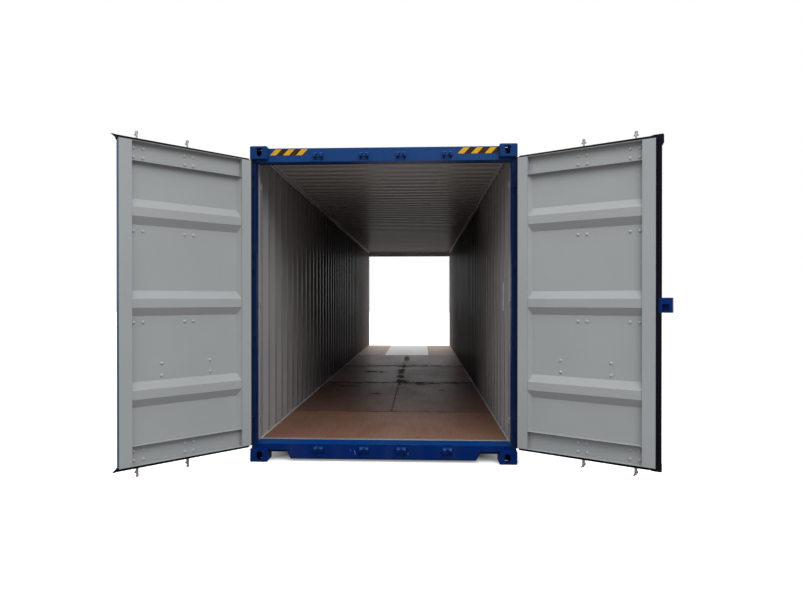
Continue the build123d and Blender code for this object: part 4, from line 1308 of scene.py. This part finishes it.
def boardRects():
    # Each row is one board, or two beside the middle joint or the tunnel
    joints = [faceY + depth for depth in boards["jointDepths"]] + [tunnelLow.y]
    lengths = [floorLow.y] + joints + [floorHigh.y]
    for row, start, stop in zip(boards["tones"], lengths, lengths[1:]):
        if row == "front":
            yield (floorLow.x, floorHigh.x, start, stop, row)
        elif row == "far":
            yield (floorLow.x, tunnelLow.x, start, stop, row)
            yield (tunnelHigh.x, floorHigh.x, start, stop, row)
        else:
            yield (floorLow.x, 0.0, start, stop, row)
            yield (0.0, floorHigh.x, start, stop, row)


random.seed(7)
bm = bmesh.new()
faceTones = []
halfGap = boards["gap"] / 2
screws = bmesh.new()
for left, right, start, stop, tone in boardRects():
    low = Vector((left + halfGap, start + halfGap, floorLow.z))
    high = Vector((right - halfGap, stop - halfGap, floorHigh.z))
    shift = random.uniform(1 - boards["toneWander"], 1 + boards["toneWander"])
    colour = [part * shift for part in boards["tones"][tone]]
    faceTones += [colour] * len(addBlock(bm, low, high, boards["chamfer"]))
    rowY = faceY + boards["firstRow"]
    while rowY < stop - boards["rowMargin"]:
        if rowY > start + boards["rowMargin"]:
            margin, wander = boards["screwMargin"], boards["rowWander"]
            step = (high.x - low.x - 2 * margin) / (boards["screwsAcross"] - 1)
            for i in range(boards["screwsAcross"]):
                screwY = rowY + random.uniform(-wander, wander)
                at = Matrix.Translation((low.x + margin + i * step, screwY, floorHigh.z))
                addTurned(screws, boards["screwProfile"], at, 8)
        rowY += boards["screwPitch"]
floorPiece = finishPiece(bm, "floor_boards", plywood, "root")
toneLayer = floorPiece.data.color_attributes.new("boardTone", "FLOAT_COLOR", "CORNER")
for polygon in floorPiece.data.polygons:
    for corner in polygon.loop_indices:
        toneLayer.data[corner].color = (*faceTones[polygon.index], 1.0)
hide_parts("plywood_floor")
finishPiece(screws, "floor_screws", small["floorScrewSteel"], "root")
print("floor laid")


# Slanted yellow bands on a dark ground at both ends of each header
bands = {
    "low": 2.818,
    "high": 2.873,
    "lean": 0.053,
    "yellowWidth": 0.057,
    "thickness": 0.0008,
    "groups": (((-1.043, -0.922, -0.801), -0.737), ((0.682, 0.803, 0.927), 1.037)),
}


def addSlanted(bm, left, right, front, back):
    low, high, lean = bands["low"], bands["high"], bands["lean"]
    points = []
    for y in (front, back):
        points += [(left, y, low), (right, y, low), (right + lean, y, high), (left + lean, y, high)]
    sides = [(0, 1, 2, 3), (7, 6, 5, 4), (0, 4, 5, 1), (1, 5, 6, 2), (2, 6, 7, 3), (3, 7, 4, 0)]
    addSolid(bm, points, sides)


for end, place in endPlaces.items():
    dark = bmesh.new()
    yellow = bmesh.new()
    back = headerLow.y
    middle = back - bands["thickness"]
    for starts, stop in bands["groups"]:
        addSlanted(dark, starts[0], stop, middle, back)
        for start in starts:
            addSlanted(yellow, start, start + bands["yellowWidth"], middle - bands["thickness"] / 2, middle)
    finishPiece(dark, f"{end}_dark_bands", small["stripeBrown"], "root", 30, place)
    finishPiece(yellow, f"{end}_yellow_bands", small["stripeYellow"], "root", 30, place)
print("header bands made")


# Lashing rings on the rails and lashing bars on the posts
lashing = {
    "rings": 10,
    "endMargin": 0.95,
    "rodRadius": 0.006,
    "ringRadius": 0.026,
    "ringSteps": 10,
    "barHeights": (0.357, 1.447, 2.556),
    "barLength": 0.060,
    "barX": 1.165,
    "barDepth": 0.190,
    "barBend": (0.013, 0.8),
    # Distance from the middle, lean, height and way up of the rings at the floor and at the roof
    "eyes": ((1.174, 0.008, 0.179, 1), (1.163, 0.010, 2.829, -1)),
}
bm = bmesh.new()
span = 2 * (-faceY - lashing["endMargin"])
radius = lashing["ringRadius"]
ringAngles = [math.pi * i / lashing["ringSteps"] for i in range(lashing["ringSteps"] + 1)]
for i in range(lashing["rings"]):
    y = faceY + lashing["endMargin"] + span * i / (lashing["rings"] - 1)
    for side in hands.values():
        for wallX, lean, height, up in lashing["eyes"]:
            bow = []
            for a in ringAngles:
                x, z = side * (wallX - lean * math.sin(a)), height + up * radius * math.sin(a)
                bow.append(Vector((x, y + radius * math.cos(a), z)))
            addRod(bm, bow, lashing["rodRadius"])
for place in endPlaces.values():
    for side in hands.values():
        for height in lashing["barHeights"]:
            half = lashing["barLength"] / 2
            y = faceY + lashing["barDepth"]
            bend, part = lashing["barBend"]
            path = [(y - bend, -half), (y, -half * part), (y, half * part), (y - bend, half)]
            points = [place @ Vector((side * lashing["barX"], depth, height + z)) for depth, z in path]
            addRod(bm, points, lashing["rodRadius"])
finishPiece(bm, "lashing_rings", zinc, "root")
print("lashing points made")


# Bare white label on the right wall and bare data plates on the left leaves
label = {"wallX": 1.176, "depth": 0.640, "low": 1.376, "high": 1.665, "width": 0.070, "thickness": 0.001}
bm = bmesh.new()
y = faceY + label["depth"]
low = Vector((label["wallX"] - label["thickness"], y - label["width"] / 2, label["low"]))
high = Vector((label["wallX"], y + label["width"] / 2, label["high"]))
addBlock(bm, low, high)
finishPiece(bm, "bare_wall_label", small["bareLabelWhite"], "root", 30)

dataPlate = {
    "fromPin": (0.272, 0.484),
    "low": 0.345,
    "high": 0.612,
    "thickness": 0.0015,
    "rivetRadius": 0.0055,
    "rivetHeight": 0.003,
    # Distance from the hinge pin and height of each rivet
    "rivets": (
        (0.471, 0.590), (0.375, 0.598), (0.284, 0.600), (0.471, 0.502),
        (0.284, 0.500), (0.467, 0.359), (0.284, 0.357),
    ),
}
rivetProfile = [(r * dataPlate["rivetRadius"], h * dataPlate["rivetHeight"]) for r, h in domeProfile]
for end in ends:
    place, body = leafMatrix(end, "left"), f"{end}_left_leaf"
    bm = bmesh.new()
    outerY = faceY + leaf["sheetOuter"]
    near, far = [reach - leaf["pinX"] for reach in dataPlate["fromPin"]]
    low = Vector((near, outerY - dataPlate["thickness"], dataPlate["low"]))
    addBlock(bm, low, Vector((far, outerY, dataPlate["high"])))
    finishPiece(bm, f"{end}_bare_data_plate", small["bareDataPlate"], body, 30, place)
    heads = bmesh.new()
    for fromPin, z in dataPlate["rivets"]:
        for depth, turn in ((leaf["sheetInner"], -90), (leaf["sheetOuter"] - dataPlate["thickness"], 90)):
            at = Matrix.Translation((fromPin - leaf["pinX"], faceY + depth, z))
            addTurned(heads, rivetProfile, at @ Matrix.Rotation(math.radians(turn), 4, "X"), 10)
    finishPiece(heads, f"{end}_plate_rivets", small["paintedBolt"], body, 50, place)
print("bare plates made")


# Floor, light and camera
stage = {
    "size": 120.0,
    "drop": 0.0005,
    "floorRough": 0.9,
    "floorTone": (0.236, 0.220, 0.206),
    "seenTone": (0.90, 0.90, 0.90),
    # Glow of the floor under and round the container, a painted contact shadow
    "liftUnder": (-0.32, -0.10, 0.02, 0.30),
    "liftOutside": (0.02, 0.10, 0.0, 0.46),
    "glossLift": 0.10,
    "skyLow": 0.20,
    "skyTop": 2.05,
    "skyTint": (0.965, 1.0, 1.050),
}
white = (1.0, 1.0, 1.0, 1.0)
bm = bmesh.new()
half = stage["size"] / 2
ring = ((-half, -half), (half, -half), (half, half), (-half, half))
bm.faces.new([bm.verts.new((x, y, -stage["drop"])) for x, y in ring])
mesh = bpy.data.meshes.new("paleFloor")
bm.to_mesh(mesh)
bm.free()
paleFloor = bpy.data.objects.new("paleFloor", mesh)
bpy.context.scene.collection.objects.link(paleFloor)
floorMaterial = bpy.data.materials.new("paleFloor")
floorMaterial.use_nodes = True
tree = floorMaterial.node_tree
shader = tree.nodes["Principled BSDF"]
ray = put(tree, "ShaderNodeLightPath").outputs
floorColour = mixColour(tree, ray["Is Camera Ray"], stage["floorTone"], stage["seenTone"])
spot = axesOf(tree, put(tree, "ShaderNodeTexCoord").outputs["Object"])
# The floor's glow for the camera is weaker under the container and close round it: a painted contact shadow
outside = -1.0
for axis, reach in (("X", -castingLow.x), ("Y", -castingLow.y)):
    outside = calc(tree, "MAXIMUM", calc(tree, "SUBTRACT", sizeOf(tree, spot[axis]), reach), outside)
under = remap(tree, outside, *stage["liftUnder"])
lift = calc(tree, "ADD", under, remap(tree, outside, *stage["liftOutside"]))
lift = product(tree, ray["Is Camera Ray"], lift)
lift = calc(tree, "ADD", lift, product(tree, ray["Is Glossy Ray"], stage["glossLift"]))
fillIn(tree, shader, {"Base Color": floorColour, "Emission Color": white, "Emission Strength": lift})
fillIn(tree, shader, {"Roughness": stage["floorRough"], "Specular IOR Level": 0.0})
mesh.materials.append(floorMaterial)

# The world gives its soft light, and shows white to the camera and in reflections
world = bpy.data.worlds.new("softSky")
bpy.context.scene.world = world
world.use_nodes = True
tree = world.node_tree
background = tree.nodes["Background"]
up = axesOf(tree, put(tree, "ShaderNodeTexCoord").outputs["Generated"])["Z"]
level = remap(tree, up, 0.0, 1.0, stage["skyLow"], stage["skyTop"])
ray = put(tree, "ShaderNodeLightPath").outputs
seen = calc(tree, "MAXIMUM", ray["Is Camera Ray"], ray["Is Glossy Ray"])
level = calc(tree, "ADD", product(tree, level, calc(tree, "SUBTRACT", 1.0, seen)), seen)
fillIn(tree, background, {"Strength": level, "Color": mixColour(tree, seen, stage["skyTint"], white[:3])})

lamps = {
    "overhead": {"place": (2.4, -12.0, 8.0), "aim": (0.0, -6.0, 1.2), "size": 5.0, "power": 340.0},
    "far": {"place": (-1.2, 12.0, 8.0), "aim": (0.0, 6.0, 1.2), "size": 5.0, "power": 200.0},
}
for name, lamp in lamps.items():
    data = bpy.data.lights.new(name + "Lamp", "AREA")
    data.size = lamp["size"]
    data.energy = lamp["power"]
    light = bpy.data.objects.new(name + "Lamp", data)
    light.location = lamp["place"]
    light.rotation_mode = "QUATERNION"
    light.rotation_quaternion = (Vector(lamp["aim"]) - Vector(lamp["place"])).to_track_quat("-Z", "Y")
    bpy.context.scene.collection.objects.link(light)

camera = {
    "place": (0.35301, -11.54137, 1.48376),
    "yaw": 2.5426,
    "pitch": -0.1944,
    "sensorWidth": 36.0,
    "focalPixels": 601.22,
    "imageWidth": 803,
    "imageHeight": 603,
    "principal": (394.64, 302.18),
    "clipEnd": 200.0,
}
cameraData = bpy.data.cameras.new("photoCamera")
cameraObject = bpy.data.objects.new("photoCamera", cameraData)
bpy.context.scene.collection.objects.link(cameraObject)
cameraData.sensor_width = camera["sensorWidth"]
cameraData.lens = camera["focalPixels"] * camera["sensorWidth"] / camera["imageWidth"]
cameraData.shift_x = (camera["imageWidth"] / 2 - camera["principal"][0]) / camera["imageWidth"]
cameraData.shift_y = (camera["principal"][1] - camera["imageHeight"] / 2) / camera["imageWidth"]
cameraData.clip_end = camera["clipEnd"]
cameraObject.location = camera["place"]
cameraObject.rotation_mode = "XYZ"
cameraObject.rotation_euler = (math.radians(90 + camera["pitch"]), 0.0, math.radians(camera["yaw"]))
bpy.context.scene.camera = cameraObject
bpy.context.scene.view_settings.view_transform = "Standard"
print("stage, lamps and camera set")
